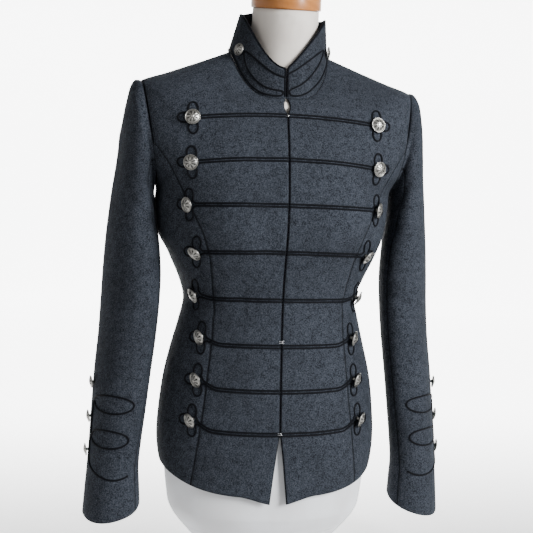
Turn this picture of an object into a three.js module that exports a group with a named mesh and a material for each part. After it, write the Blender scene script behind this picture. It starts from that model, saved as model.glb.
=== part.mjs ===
// Fitted wool jacket with cord frogging, worn on a limbless dress form.
// Millimetres, +Z up, front faces -Y, origin at the centre of the form's flat underside.
import * as THREE from 'three';

// Cloth and trim sizes
const CLOTH = 2.2;            // melton wall
const COLLAR_WALL = 3.0;      // two layers of melton and canvas
const SEAM = 0.3;             // gap between neighbouring pieces
const SEAT = 0.55;            // gap between a trim and the cloth under it
const CORD_WIDTH = 2.9;
const CORD_RISE = 1.9;
const CORD_PITCH = 3.2;       // centre to centre of the doubled cord

// Heights of the eight frogging rows at the centre front, the rise of the whole row towards
// its end, the kick over its last part, and the distance of its button from the centre line.
const ROWS = [
  { z: 603, rise: -7.5, kick: 0, button: 125 },
  { z: 544, rise: -7.5, kick: 0, button: 126 },
  { z: 484, rise: -3, kick: 0, button: 127 },
  { z: 422, rise: -3, kick: 0, button: 115 },
  { z: 358, rise: -2, kick: 4, button: 110 },
  { z: 297, rise: 0, kick: 7, button: 103 },
  { z: 238, rise: 2, kick: 9, button: 107 },
  { z: 183, rise: 3, kick: 10, button: 113 },
];
const KICK_LENGTH = 30;
const LOBE_REACH = 21;        // trefoil centre to the middle of a lobe's cord
const LOBE_NECK = 6.2;        // the same where two lobes meet

const BUTTON = { radius: 11, shank: 2.6, stand: 3.4, rim: 1.9, dome: 3.4, sides: 10 };
const SMALL_BUTTON = { radius: 8.6, shank: 2.4, stand: 3.0, rim: 1.6, dome: 2.6, sides: 9 };

// Front edges: closed by hooks from the neck to HOOK_LOW, open in a V below it.
const HOOK_LOW = 181;
const HEM_POINT = 90;
const V_HALF = 11;
const HOOK_TOP = 605;
const NECK_GAP_HALF = 4.8;

// Outer surface of the body: height at centre front, side and centre back, half width,
// depth in front of and behind the side line, squareness, and power of the height change.
const BODY = [
  { zf: 90, zs: 124, zb: 120, a: 148, f: 113, b: 121, n: 2.2, p: 3.5 },
  { zf: 118, zs: 138, zb: 136, a: 151, f: 113, b: 123, n: 2.2, p: 3.5 },
  { zf: 150, zs: 156, zb: 155, a: 153, f: 113, b: 123, n: 2.2, p: 3 },
  { zf: 180, zs: 180, zb: 180, a: 153, f: 112, b: 121, n: 2.2, p: 2 },
  { zf: 215, zs: 215, zb: 215, a: 150, f: 109, b: 116, n: 2.2, p: 2 },
  { zf: 250, zs: 250, zb: 250, a: 145, f: 106, b: 110, n: 2.2, p: 2 },
  { zf: 285, zs: 285, zb: 285, a: 137, f: 103, b: 102, n: 2.2, p: 2 },
  { zf: 320, zs: 320, zb: 320, a: 128, f: 101, b: 95, n: 2.2, p: 2 },
  { zf: 351, zs: 351, zb: 351, a: 122, f: 101, b: 91, n: 2.2, p: 2 },
  { zf: 380, zs: 380, zb: 380, a: 129.5, f: 105, b: 92, n: 2.35, p: 2 },
  { zf: 412, zs: 412, zb: 412, a: 144, f: 113, b: 97, n: 2.45, p: 2 },
  { zf: 443, zs: 443, zb: 443, a: 156, f: 121, b: 103, n: 2.45, p: 2 },
  { zf: 478, zs: 478, zb: 478, a: 161.5, f: 124, b: 108, n: 2.4, p: 2 },
  { zf: 507, zs: 507, zb: 507, a: 165, f: 122, b: 111, n: 2.4, p: 2 },
  { zf: 535, zs: 535, zb: 535, a: 182, f: 117, b: 113, n: 2.5, p: 2 },
  { zf: 568, zs: 570, zb: 570, a: 195, f: 108, b: 112, n: 2.6, p: 3 },
  { zf: 593, zs: 610, zb: 606, a: 200, f: 99, b: 107, n: 2.6, p: 3 },
  { zf: 604, zs: 638, zb: 638, a: 197, f: 94, b: 97, n: 2.6, p: 3 },
  { zf: 611, zs: 650, zb: 656, a: 190, f: 91, b: 91, n: 2.5, p: 3 },
  { zf: 616, zs: 661, zb: 674, a: 160, f: 88, b: 84, n: 2.4, p: 3 },
  { zf: 620, zs: 672.5, zb: 690, a: 130, f: 85.5, b: 76, n: 2.3, p: 3.2 },
  { zf: 624, zs: 684, zb: 702, a: 100, f: 83, b: 68, n: 2.25, p: 3.6 },
  { zf: 627, zs: 696, zb: 712, a: 70, f: 80, b: 60, n: 2.2, p: 4 },
];
const ROW_UNDERARM = 13;
const ROW_SHOULDER = 18;
const ROW_NECK = 22;
const BUST = { x: 80, z: 458, wide: 44, tall: 46, full: 8 };

// Armhole plane: half width at the underarm and at the shoulder tip
const ARMHOLE = { low: 165, lowZ: 507, high: 190, highZ: 650 };

const FRONT_COLUMNS = 7;
const BACK_COLUMNS = 6;

// Seam lines on the body: height and distance from the centre line
const FRONT_PRINCESS = [
  [90, 115], [124, 111], [220, 99], [306, 90], [351, 88], [410, 97], [445, 109],
  [462, 118], [490, 130], [521, 146], [542, 158.5], [562, 173],
];
const BACK_PRINCESS = [
  [120, 66], [220, 60], [351, 50], [420, 64], [470, 84], [520, 118], [545, 143], [562, 172],
];
const PRINCESS_TOP = 14.78;   // body row where both princess seams reach the armhole

// Collar top edge
const COLLAR_SHIFT = 5.6;       // the neck stands a little towards the wearer's left
const COLLAR_TOP = { zf: 668, zs: 747, zb: 764, a: 61, f: 78, b: 38, n: 2.1, p: 1.2 };
const COLLAR_TOP_RIGHT = { ...COLLAR_TOP, zs: 750, p: 1.95 };

// Sleeve sections from the armhole to the cuff: underarm side and outer side in the XZ plane,
// front and back depth, how far the section leans outwards from front to back, and how far
// the cuff dips at the front.
const SLEEVE = [
  { xi: 167.5, zi: 503, xo: 199, zo: 650, f: 60, b: 62, lean: 0 },
  { xi: 168.5, zi: 499, xo: 205, zo: 640, f: 62, b: 63, lean: 0 },
  { xi: 169, zi: 494, xo: 209, zo: 622, f: 62, b: 62, lean: 0.03 },
  { xi: 168.5, zi: 488, xo: 213, zo: 600, f: 61, b: 61, lean: 0.06 },
  { xi: 168, zi: 480, xo: 216.5, zo: 568, f: 60, b: 59, lean: 0.1 },
  { xi: 167, zi: 470, xo: 220, zo: 533, f: 59, b: 58, lean: 0.14 },
  { xi: 164, zi: 450, xo: 225.5, zo: 490, f: 58, b: 56, lean: 0.18 },
  { xi: 159.5, zi: 424, xo: 230.5, zo: 440, f: 57, b: 54, lean: 0.23 },
  { xi: 156.5, zi: 385, xo: 233.5, zo: 388, f: 57, b: 53, lean: 0.26 },
  { xi: 157.5, zi: 345, xo: 235, zo: 345, f: 58, b: 51, lean: 0.28 },
  { xi: 161, zi: 300, xo: 237, zo: 300, f: 59, b: 46, lean: 0.28 },
  { xi: 166.5, zi: 250, xo: 241, zo: 249, f: 60.5, b: 39, lean: 0.27 },
  { xi: 171.5, zi: 202, xo: 243.5, zo: 198, f: 61, b: 32, lean: 0.25 },
  { xi: 176, zi: 160, xo: 245.5, zo: 153, f: 60.5, b: 26, lean: 0.22 },
  { xi: 178.5, zi: 127, xo: 247.5, zo: 118, f: 60.5, b: 23, lean: 0.2 },
  { xi: 177, zi: 101, xo: 249.5, zo: 88, f: 62, b: 24.5, lean: 0.2, dip: 4 },
  { xi: 175.5, zi: 77, xo: 251.5, zo: 55, f: 63.5, b: 26, lean: 0.2, dip: 9 },
];
const FOREARM_SEAM = [0.16, 0.14];   // share of the section, armhole and cuff
const HINDARM_SEAM = [0.7, 0.57];
const CUFF_BUTTON_Z = [234, 188, 143];
const CUFF_BUTTON_AT = 0.525;
const CUFF_LOOPS = [
  { z: 211, tall: 25, from: 0.49, to: 0.225 },
  { z: 165, tall: 25, from: 0.49, to: 0.225 },
];
const LOOP_PINCH = 2;         // half the gap where a loop's two ends meet
const CUFF_SWEEP = [[0.494, 152], [0.49, 141], [0.47, 129], [0.41, 120], [0.33, 113.5], [0.26, 113], [0.2, 118]];

// Dress form: ease between cloth and form, lower body, neck and wooden cap; level 1 keeps a
// ring in one plane, and x moves it sideways.
const FORM_EASE = [[0, 6], [6, 5], [13, 4], [17.5, 6], [18, 5.2], [19, 0.7], [21, 0.7], [22, 1.1]];
const FORM_LOWER = [
  { zf: 0, zs: 0, zb: 0, a: 78, f: 58, b: 62, n: 2.1, p: 2 },
  { zf: 20, zs: 20, zb: 20, a: 98, f: 73, b: 78, n: 2.1, p: 2 },
  { zf: 41, zs: 41, zb: 41, a: 117, f: 87, b: 94, n: 2.15, p: 2 },
  { zf: 60, zs: 60, zb: 60, a: 131, f: 98, b: 106, n: 2.2, p: 2 },
  { zf: 78, zs: 82, zb: 82, a: 137, f: 102, b: 111, n: 2.2, p: 2 },
];
const NECK = [
  { zf: 637, zs: 704, zb: 720, a: 59, f: 72, b: 48, n: 2.1, p: 3.4, level: 0.2, x: 3 },
  { zf: 652, zs: 714, zb: 729, a: 51, f: 69, b: 38, n: 2.05, p: 3, level: 0.5, x: 6 },
  { zf: 690, zs: 733, zb: 746, a: 47, f: 69, b: 28, n: 2, p: 2, level: 1, x: 9 },
  { zf: 748, zs: 761, zb: 772, a: 46.5, f: 71, b: 22, n: 2, p: 2, level: 1, x: 10 },
];
const CAP = { grow: 3, height: 30, crown: 5 };

const COLOR = {
  wool: 0x41454b,
  woolSide: 0x3d4147,
  cord: 0x16191e,
  pewter: 0xa3a296,
  form: 0xe4e2dd,
  wood: 0xb87a44,
};

function material(hex, roughness, metalness) {
  return new THREE.MeshStandardMaterial({ color: hex, roughness, metalness });
}

function spline(list, t, get) {
  const last = list.length - 1;
  const c = Math.min(Math.max(t, 0), last);
  const i = Math.min(Math.floor(c), last - 1);
  const s = c - i;
  const p1 = get(list[i]);
  const p2 = get(list[i + 1]);
  const p0 = i > 0 ? get(list[i - 1]) : 2 * p1 - p2;
  const p3 = i + 2 <= last ? get(list[i + 2]) : 2 * p2 - p1;
  const m1 = (p2 - p0) / 2;
  const m2 = (p3 - p1) / 2;
  const s2 = s * s;
  const s3 = s2 * s;
  return (2 * s3 - 3 * s2 + 1) * p1 + (s3 - 2 * s2 + s) * m1 + (3 * s2 - 2 * s3) * p2 + (s3 - s2) * m2;
}

function lookup(pairs, x) {
  if (x <= pairs[0][0]) return pairs[0][1];
  for (let i = 1; i < pairs.length; i++) {
    if (x <= pairs[i][0]) {
      const share = (x - pairs[i - 1][0]) / (pairs[i][0] - pairs[i - 1][0]);
      const soft = share;
      return pairs[i - 1][1] + (pairs[i][1] - pairs[i - 1][1]) * soft;
    }
  }
  return pairs[pairs.length - 1][1];
}

function smoothLookup(pairs, x) {
  const step = 7;
  return (lookup(pairs, x - step) + 2 * lookup(pairs, x) + lookup(pairs, x + step)) / 4;
}

function smoothstep(t) {
  const c = Math.min(Math.max(t, 0), 1);
  return c * c * (3 - 2 * c);
}

// A ring's quarter as a table of points at even shares of its length
const QUARTER_STEPS = 72;
function quarter(a, depth, n) {
  const pts = [];
  for (let i = 0; i <= QUARTER_STEPS; i++) {
    const angle = (i / QUARTER_STEPS) * Math.PI / 2;
    pts.push([a * Math.sin(angle) ** (2 / n), depth * Math.max(Math.cos(angle), 0) ** (2 / n)]);
  }
  const run = [0];
  for (let i = 1; i < pts.length; i++) {
    run.push(run[i - 1] + Math.hypot(pts[i][0] - pts[i - 1][0], pts[i][1] - pts[i - 1][1]));
  }
  const length = run[run.length - 1];
  const at = (share) => {
    const target = Math.min(Math.max(share, 0), 1) * length;
    let i = 1;
    while (i < run.length - 1 && run[i] < target) i++;
    const s = (target - run[i - 1]) / (run[i] - run[i - 1] || 1);
    return [
      pts[i - 1][0] + (pts[i][0] - pts[i - 1][0]) * s,
      pts[i - 1][1] + (pts[i][1] - pts[i - 1][1]) * s,
    ];
  };
  return { at, length };
}

function hemBlend(t, p) {
  return 0.3 * smoothstep(t / 0.36) + 0.7 * t ** p;
}

function makeRing(r, dipped) {
  const front = quarter(r.a, r.f, r.n);
  const back = quarter(r.a, r.b, r.n);
  const at = (u) => {
    const isFront = u <= 0.25;
    const share = isFront ? u / 0.25 : (0.5 - u) / 0.25;
    const [x, depth] = (isFront ? front : back).at(share);
    const t = Math.min(x / r.a, 1);
    const curved = dipped > 0 && isFront
      ? dipped * hemBlend(t, r.p) + (1 - dipped) * t ** r.p
      : t ** r.p;
    const level = r.level ?? 0;
    const blend = (1 - level) * curved + level * (1 - depth / (isFront ? r.f : r.b));
    const z0 = isFront ? r.zf : r.zb;
    return new THREE.Vector3(x, isFront ? -depth : depth, z0 + (r.zs - z0) * blend);
  };
  return { at, lengthFront: front.length, lengthBack: back.length };
}

function bodyRow(v) {
  const r = {};
  for (const key of ['zf', 'zs', 'zb', 'a', 'f', 'b', 'n', 'p']) {
    r[key] = spline(BODY, v, (row) => row[key]);
  }
  return r;
}

const ringCache = new Map();
function bodyRing(v) {
  const key = Math.round(v * 20000);
  if (!ringCache.has(key)) {
    ringCache.set(key, makeRing(bodyRow(v), Math.min(Math.max(1 - v / 2, 0), 1)));
  }
  return ringCache.get(key);
}

// Point of the outer body surface: u 0 at centre front, 0.25 at the side, 0.5 at centre back
function body(u, v) {
  const p = bodyRing(v).at(u);
  if (u < 0.25) {
    const dx = (p.x - BUST.x) / BUST.wide;
    const dz = (p.z - BUST.z) / BUST.tall;
    const full = BUST.full * Math.exp(-dx * dx - dz * dz);
    p.y -= full * smoothstep((0.25 - u) / 0.1);
  }
  return p;
}

function bodyNormal(u, v) {
  const d = 0.004;
  const h = 0.05;
  const u0 = Math.max(u - d, 0);
  const u1 = Math.min(u + d, 0.5);
  const v0 = Math.max(v - h, 0);
  const v1 = Math.min(v + h, ROW_NECK);
  const du = body(u1, v).sub(body(u0, v));
  const dv = body(u, v1).sub(body(u, v0));
  if (u < d || u > 0.5 - d) {
    du.y = 0;
    du.z = 0;
  }
  return du.cross(dv).normalize();
}

function rowAtHeight(u, z) {
  let lo = 0;
  let hi = ROW_NECK;
  for (let i = 0; i < 40; i++) {
    const mid = (lo + hi) / 2;
    if (body(u, mid).z < z) lo = mid;
    else hi = mid;
  }
  return (lo + hi) / 2;
}

// Share u where the surface is x away from the centre plane
function uAtX(v, x, isFront) {
  let lo = isFront ? 0 : 0.25;
  let hi = isFront ? 0.25 : 0.5;
  for (let i = 0; i < 40; i++) {
    const mid = (lo + hi) / 2;
    const wider = body(mid, v).x > x;
    if (wider === isFront) hi = mid;
    else lo = mid;
  }
  return (lo + hi) / 2;
}

function armholeX(z) {
  const share = (z - ARMHOLE.lowZ) / (ARMHOLE.highZ - ARMHOLE.lowZ);
  return ARMHOLE.low + (ARMHOLE.high - ARMHOLE.low) * share;
}

function armholeU(v, isFront) {
  if (v <= ROW_UNDERARM || v >= ROW_SHOULDER) return 0.25;
  let lo = isFront ? 0 : 0.25;
  let hi = isFront ? 0.25 : 0.5;
  for (let i = 0; i < 40; i++) {
    const mid = (lo + hi) / 2;
    const p = body(mid, v);
    const beyond = p.x > armholeX(p.z);
    if (beyond === isFront) hi = mid;
    else lo = mid;
  }
  return (lo + hi) / 2;
}

function seamU(table, v, isFront) {
  let u = isFront ? 0.15 : 0.35;
  for (let i = 0; i < 4; i++) {
    u = uAtX(v, smoothLookup(table, body(u, v).z), isFront);
  }
  return u;
}

function frontGap(z) {
  if (z < HOOK_LOW) return SEAM / 2 + V_HALF * ((HOOK_LOW - z) / (HOOK_LOW - HEM_POINT)) ** 0.85;
  if (z > HOOK_TOP) {
    const share = Math.min((z - HOOK_TOP) / 24, 1);
    return SEAM / 2 + NECK_GAP_HALF * Math.sin(Math.PI * share) ** 1.2;
  }
  return SEAM / 2;
}

const ROWS_ALL = [
  0, 1, 2, 3, 4, 5, 6, 7, 8, 9, 10, 11, 12, 13, 13.08, 13.3, 13.7, 14.2, PRINCESS_TOP,
  15.4, 16, 16.8, 17.5, 18, 19, 20, 21, 22,
];

// Closed shell from a grid of outer points and inward unit directions
function shell(outer, inward, wall) {
  const rows = outer.length;
  const cols = outer[0].length;
  const vertices = [];
  const index = [];
  const id = (i, j, inner) => (inner ? rows * cols : 0) + i * cols + j;
  for (const isInner of [false, true]) {
    for (let i = 0; i < rows; i++) {
      for (let j = 0; j < cols; j++) {
        const p = outer[i][j].clone();
        if (isInner) p.addScaledVector(inward[i][j], wall);
        vertices.push(p.x, p.y, p.z);
      }
    }
  }
  const quad = (a, b, c, d) => index.push(a, b, c, a, c, d);
  for (let i = 0; i < rows - 1; i++) {
    for (let j = 0; j < cols - 1; j++) {
      quad(id(i, j), id(i, j + 1), id(i + 1, j + 1), id(i + 1, j));
      quad(id(i, j, true), id(i + 1, j, true), id(i + 1, j + 1, true), id(i, j + 1, true));
    }
  }
  for (let j = 0; j < cols - 1; j++) {
    quad(id(0, j), id(0, j, true), id(0, j + 1, true), id(0, j + 1));
    quad(id(rows - 1, j), id(rows - 1, j + 1), id(rows - 1, j + 1, true), id(rows - 1, j, true));
  }
  for (let i = 0; i < rows - 1; i++) {
    quad(id(i, 0), id(i + 1, 0), id(i + 1, 0, true), id(i, 0, true));
    quad(id(i, cols - 1), id(i, cols - 1, true), id(i + 1, cols - 1, true), id(i + 1, cols - 1));
  }
  return geometry(vertices, index);
}

// Geometry with its faces turned outwards by the sign of its volume
function geometry(vertices, index) {
  let volume = 0;
  const a = new THREE.Vector3();
  const b = new THREE.Vector3();
  const c = new THREE.Vector3();
  for (let i = 0; i < index.length; i += 3) {
    a.fromArray(vertices, index[i] * 3);
    b.fromArray(vertices, index[i + 1] * 3);
    c.fromArray(vertices, index[i + 2] * 3);
    volume += a.dot(b.cross(c));
  }
  const faces = index.slice();
  if (volume < 0) {
    for (let i = 0; i < faces.length; i += 3) {
      const keep = faces[i + 1];
      faces[i + 1] = faces[i + 2];
      faces[i + 2] = keep;
    }
  }
  const g = new THREE.BufferGeometry();
  g.setAttribute('position', new THREE.Float32BufferAttribute(vertices, 3));
  g.setIndex(faces);
  g.computeVertexNormals();
  return g;
}

function mirrored(g) {
  const source = g.getAttribute('position');
  const vertices = [];
  for (let i = 0; i < source.count; i++) {
    vertices.push(-source.getX(i), source.getY(i), source.getZ(i));
  }
  return geometry(vertices, Array.from(g.getIndex().array));
}

const group = new THREE.Group();

function add(name, g, hex, roughness, metalness) {
  const mesh = new THREE.Mesh(g, material(hex, roughness, metalness));
  mesh.name = name;
  group.add(mesh);
}

function addPair(name, g, hex, roughness, metalness) {
  add(`${name}_left`, g, hex, roughness, metalness);
  add(`${name}_right`, mirrored(g), hex, roughness, metalness);
}

// A body panel between two seam lines, each drawn back by half the seam gap
function panel(rows, edgeIn, edgeOut, columns) {
  const outer = [];
  const inward = [];
  for (const v of rows) {
    const ring = bodyRing(v);
    const u0 = edgeIn(v);
    const u1 = edgeOut(v);
    const line = [];
    const dirs = [];
    for (let j = 0; j <= columns; j++) {
      const u = u0 + (u1 - u0) * (j / columns);
      const half = SEAM / 2;
      const length = (u < 0.25 ? ring.lengthFront : ring.lengthBack) * 4;
      let shifted = u;
      if (j === 0) shifted = u + half / length;
      if (j === columns) shifted = u - half / length;
      line.push(body(shifted, v));
      dirs.push(bodyNormal(shifted, v).multiplyScalar(-1));
    }
    outer.push(line);
    inward.push(dirs);
  }
  return shell(outer, inward, CLOTH);
}

const frontEdge = (v) => {
  const z = body(0, v).z;
  return uAtX(v, frontGap(z) - SEAM / 2, true);
};
const frontPrincess = (v) => Math.min(seamU(FRONT_PRINCESS, v, true), armholeU(v, true));
const backPrincess = (v) => Math.max(seamU(BACK_PRINCESS, v, false), armholeU(v, false));
const upTo = (limit) => ROWS_ALL.filter((v) => v <= limit);
const SIDE_TOP = 14.62;
const sideRows = [...upTo(14.3), SIDE_TOP];

const frontOuter = (v) => (v < PRINCESS_TOP ? frontPrincess(v) : armholeU(v, true));
const backOuter = (v) => (v < PRINCESS_TOP ? backPrincess(v) : armholeU(v, false));
const sideRowsBoth = ROWS_ALL.filter((v) => v < PRINCESS_TOP).concat([SIDE_TOP]);
const rowsBoth = [...new Set([...ROWS_ALL, SIDE_TOP])].sort((p, q) => p - q);

addPair('front', panel(rowsBoth, frontEdge, frontOuter, FRONT_COLUMNS), COLOR.wool, 0.95, 0);
addPair('side_front', panel(sideRowsBoth, frontPrincess, (v) => armholeU(v, true), 3), COLOR.woolSide, 0.95, 0);
addPair('side_back', panel(sideRowsBoth, (v) => armholeU(v, false), backPrincess, 4), COLOR.woolSide, 0.95, 0);
addPair('back', panel(rowsBoth, backOuter, () => 0.5, BACK_COLUMNS), COLOR.wool, 0.95, 0);

// Sleeve surface: w 0 at the underarm, 0.25 front, 0.5 outer side, 0.75 back
function sleeveSection(row) {
  const mid = new THREE.Vector3((row.xi + row.xo) / 2, 0, (row.zi + row.zo) / 2);
  const span = new THREE.Vector3(row.xo - row.xi, 0, row.zo - row.zi);
  const across = span.length() / 2;
  span.normalize();
  const depth = (row.f + row.b) / 2;
  mid.y = (row.b - row.f) / 2;
  const thin = Math.sqrt(Math.max(across ** 2 - (row.lean * depth) ** 2, 1));
  const arc = quarter(depth, thin, 2.15);
  return (w) => {
    const turn = (w % 1 + 1) % 1;
    const part = Math.floor(turn * 4);
    const share = turn * 4 - part;
    const [side, along] = arc.at(part % 2 === 0 ? share : 1 - share);
    const q = part < 2 ? -side : side;
    const p = (part === 0 || part === 3 ? -along : along) + row.lean * q;
    const drop = (row.dip ?? 0) * Math.max(-q / depth, 0);
    return mid.clone().addScaledVector(span, p).add(new THREE.Vector3(0, q, -drop));
  };
}

// The armhole seam as a ring of the sleeve, w as above, by even shares of each side's length
function armholeCurve(isFront) {
  const pts = [];
  const steps = 160;
  for (let i = 0; i <= steps; i++) {
    const v = ROW_UNDERARM + (ROW_SHOULDER - ROW_UNDERARM) * (i / steps);
    pts.push(body(armholeU(v, isFront), v));
  }
  const run = [0];
  for (let i = 1; i < pts.length; i++) run.push(run[i - 1] + pts[i].distanceTo(pts[i - 1]));
  return (share) => {
    const target = share * run[run.length - 1];
    let i = 1;
    while (i < run.length - 1 && run[i] < target) i++;
    const s = (target - run[i - 1]) / (run[i] - run[i - 1] || 1);
    return pts[i - 1].clone().lerp(pts[i], s);
  };
}
const armFront = armholeCurve(true);
const armBack = armholeCurve(false);
const armholeAt = (w) => {
  const turn = (w % 1 + 1) % 1;
  const p = turn <= 0.5 ? armFront(turn * 2) : armBack((1 - turn) * 2);
  p.x += SEAM + 0.1;
  return p;
};

const sections = [armholeAt, ...SLEEVE.map(sleeveSection)];
const LAST = sections.length - 1;
function sleeve(w, s) {
  const p = new THREE.Vector3();
  for (const axis of ['x', 'y', 'z']) {
    p[axis] = spline(sections, s, (section) => section(w)[axis]);
  }
  return p;
}

function sleeveNormal(w, s) {
  const dw = sleeve(w + 0.006, s).sub(sleeve(w - 0.006, s));
  const ds = sleeve(w, Math.min(s + 0.06, LAST)).sub(sleeve(w, Math.max(s - 0.06, 0)));
  return dw.cross(ds).normalize();
}

function sleevePanel(from, to, columns) {
  const outer = [];
  const inward = [];
  for (let s = 0; s <= LAST; s++) {
    const share = s / LAST;
    const w0 = from[0] + (from[1] - from[0]) * share;
    const w1 = to[0] + (to[1] - to[0]) * share;
    const line = [];
    const dirs = [];
    const around = 2 * Math.PI * 48;
    for (let j = 0; j <= columns; j++) {
      let w = w0 + (w1 - w0) * (j / columns);
      if (j === 0) w += SEAM / 2 / around;
      if (j === columns) w -= SEAM / 2 / around;
      line.push(sleeve(w, s));
      dirs.push(sleeveNormal(w, s));
    }
    outer.push(line);
    inward.push(dirs);
  }
  const mid = outer[9][Math.floor(columns / 2)];
  const centre = new THREE.Vector3(197, 0, 360);
  const sign = Math.sign(inward[9][Math.floor(columns / 2)].dot(centre.sub(mid)));
  for (const line of inward) for (const d of line) d.multiplyScalar(sign);
  return shell(outer, inward, CLOTH);
}

addPair('sleeve_upper', sleevePanel(FOREARM_SEAM, HINDARM_SEAM, 10), COLOR.wool, 0.95, 0);
addPair(
  'sleeve_under',
  sleevePanel(HINDARM_SEAM, FOREARM_SEAM.map((w) => w + 1), 7),
  COLOR.woolSide, 0.95, 0,
);

// Collar wall from the neckline to its top edge
const collarTop = makeRing(COLLAR_TOP, 0);
const collarTopRight = makeRing(COLLAR_TOP_RIGHT, 0);
const fullTurn = (u) => (u <= 0.5 ? [u, 1] : [1 - u, -1]);
function turned(ringLeft, ringRight, u) {
  const [half, side] = fullTurn(((u % 1) + 1) % 1);
  const p = side > 0 ? ringLeft(half) : ringRight(half);
  p.x *= side;
  return p;
}
function collar(u, h) {
  const neckline = (half) => body(half, ROW_NECK);
  const low = turned(neckline, neckline, u);
  const turn = COLLAR_SHIFT / (4 * collarTop.lengthFront) * (1 + Math.cos(2 * Math.PI * u)) / 2;
  const high = turned(collarTop.at, collarTopRight.at, u - turn);
  high.x += COLLAR_SHIFT;
  high.z = turned(collarTop.at, collarTopRight.at, u).z;
  low.addScaledVector(high.clone().sub(low).normalize(), SEAM + 0.1);
  return low.lerp(high, h);
}

function collarNormal(u, h) {
  const u0 = Math.max(u - 0.004, 0);
  const u1 = Math.min(u + 0.004, 1);
  const du = collar(u1, h).sub(collar(u0, h));
  const dh = collar(u, Math.min(h + 0.03, 1)).sub(collar(u, Math.max(h - 0.03, 0)));
  return du.cross(dh).normalize();
}

function collarPiece() {
  const outer = [];
  const inward = [];
  const half = [0.0006];
  for (let j = 1; j <= FRONT_COLUMNS; j++) half.push(0.25 * j / FRONT_COLUMNS);
  for (let j = 1; j <= BACK_COLUMNS; j++) half.push(0.25 + 0.25 * j / BACK_COLUMNS);
  const shares = [...half, ...half.slice(0, -1).reverse().map((u) => 1 - u)];
  for (const h of [0, 0.33, 0.67, 1]) {
    const line = [];
    const dirs = [];
    for (const u of shares) {
      line.push(collar(u, h));
      dirs.push(collarNormal(u, h).multiplyScalar(-1));
    }
    outer.push(line);
    inward.push(dirs);
  }
  return shell(outer, inward, COLLAR_WALL);
}
add('collar', collarPiece(), COLOR.wool, 0.95, 0);

// The place on the cloth's own faces nearest to a point of its curve, along the normal
const ray = new THREE.Raycaster();
const RAY_START = 15;
const FOOT = 1.4;
function drape(place, pieces) {
  const { normal } = place;
  const up = new THREE.Vector3(0, 0, 1).addScaledVector(normal, -normal.z).normalize();
  const side = up.clone().cross(normal);
  const down = normal.clone().multiplyScalar(-1);
  let nearest = RAY_START + 3;
  for (const [across, along] of [[0, 0], [FOOT, 0], [-FOOT, 0], [0, FOOT], [0, -FOOT]]) {
    const from = place.point.clone().addScaledVector(normal, RAY_START);
    from.addScaledVector(side, across).addScaledVector(up, along);
    ray.set(from, down);
    for (const hit of ray.intersectObjects(pieces, false)) {
      if (hit.distance > RAY_START - 3) nearest = Math.min(nearest, hit.distance);
    }
  }
  if (nearest === RAY_START + 3) return place;
  return { ...place, point: place.point.clone().addScaledVector(normal, RAY_START - nearest) };
}

// All places of a path on the faces, raised where a straight run between two would sink in
const SINK = 0.25;
function settle(path, pieces) {
  const places = path.map((place) => drape(place, pieces));
  for (let pass = 0; pass < 2; pass++) {
    for (let i = 0; i < places.length - 1; i++) {
      const a = places[i];
      const b = places[i + 1];
      for (const share of [0.2, 0.4, 0.6, 0.8]) {
        const point = a.point.clone().lerp(b.point, share);
        const normal = a.normal.clone().lerp(b.normal, share).normalize();
        const deep = drape({ point, normal }, pieces).point.sub(point).dot(normal) - SINK;
        if (deep > 0) {
          a.point.addScaledVector(a.normal, deep);
          b.point.addScaledVector(b.normal, deep);
        }
      }
    }
  }
  return places;
}

const named = (...names) => names.map((name) => group.getObjectByName(name));
group.updateMatrixWorld(true);

// A flat path with the same curve and more points
function finer(flat, parts) {
  const out = [];
  const steps = (flat.length - 1) * parts;
  for (let i = 0; i <= steps; i++) {
    out.push([spline(flat, i / parts, (p) => p[0]), spline(flat, i / parts, (p) => p[1])]);
  }
  return out;
}

// A cord laid on cloth: path of points with the cloth's outward normals
function cord(path, width, rise) {
  const section = [
    [-width / 2, 0], [width / 2, 0], [width * 0.3, rise], [-width * 0.3, rise],
  ];
  const vertices = [];
  const index = [];
  const count = path.length;
  for (let i = 0; i < count; i++) {
    const before = path[Math.max(i - 1, 0)].point;
    const after = path[Math.min(i + 1, count - 1)].point;
    const along = after.clone().sub(before).normalize();
    const up = path[i].normal;
    const across = along.clone().cross(up).normalize();
    for (const [side, height] of section) {
      const p = path[i].point.clone().addScaledVector(across, side).addScaledVector(up, height + SEAT);
      vertices.push(p.x, p.y, p.z);
    }
  }
  const k = section.length;
  for (let i = 0; i < count - 1; i++) {
    for (let j = 0; j < k; j++) {
      const a = i * k + j;
      const b = i * k + (j + 1) % k;
      index.push(a, b, b + k, a, b + k, a + k);
    }
  }
  index.push(0, 2, 1, 0, 3, 2);
  const end = (count - 1) * k;
  index.push(end, end + 1, end + 2, end, end + 2, end + 3);
  return geometry(vertices, index);
}

// Point of the front at a distance along the cloth from the centre line and at a height
function frontAt(distance, z) {
  let u = distance / 700;
  let v = rowAtHeight(u, z);
  for (let i = 0; i < 5; i++) {
    u = 0.25 * distance / bodyRing(v).lengthFront;
    v = rowAtHeight(u, z);
  }
  return { point: body(u, v), normal: bodyNormal(u, v), u, v };
}

function frontDistance(x, z) {
  let v = rowAtHeight(0.15, z);
  let u = 0.15;
  for (let i = 0; i < 5; i++) {
    u = uAtX(v, x, true);
    v = rowAtHeight(u, z);
  }
  return u / 0.25 * bodyRing(v).lengthFront;
}

function rowRise(row, distance, end) {
  const share = distance / end;
  return row.rise * share ** 2 + row.kick * smoothstep((distance - (end - KICK_LENGTH)) / KICK_LENGTH);
}

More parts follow.
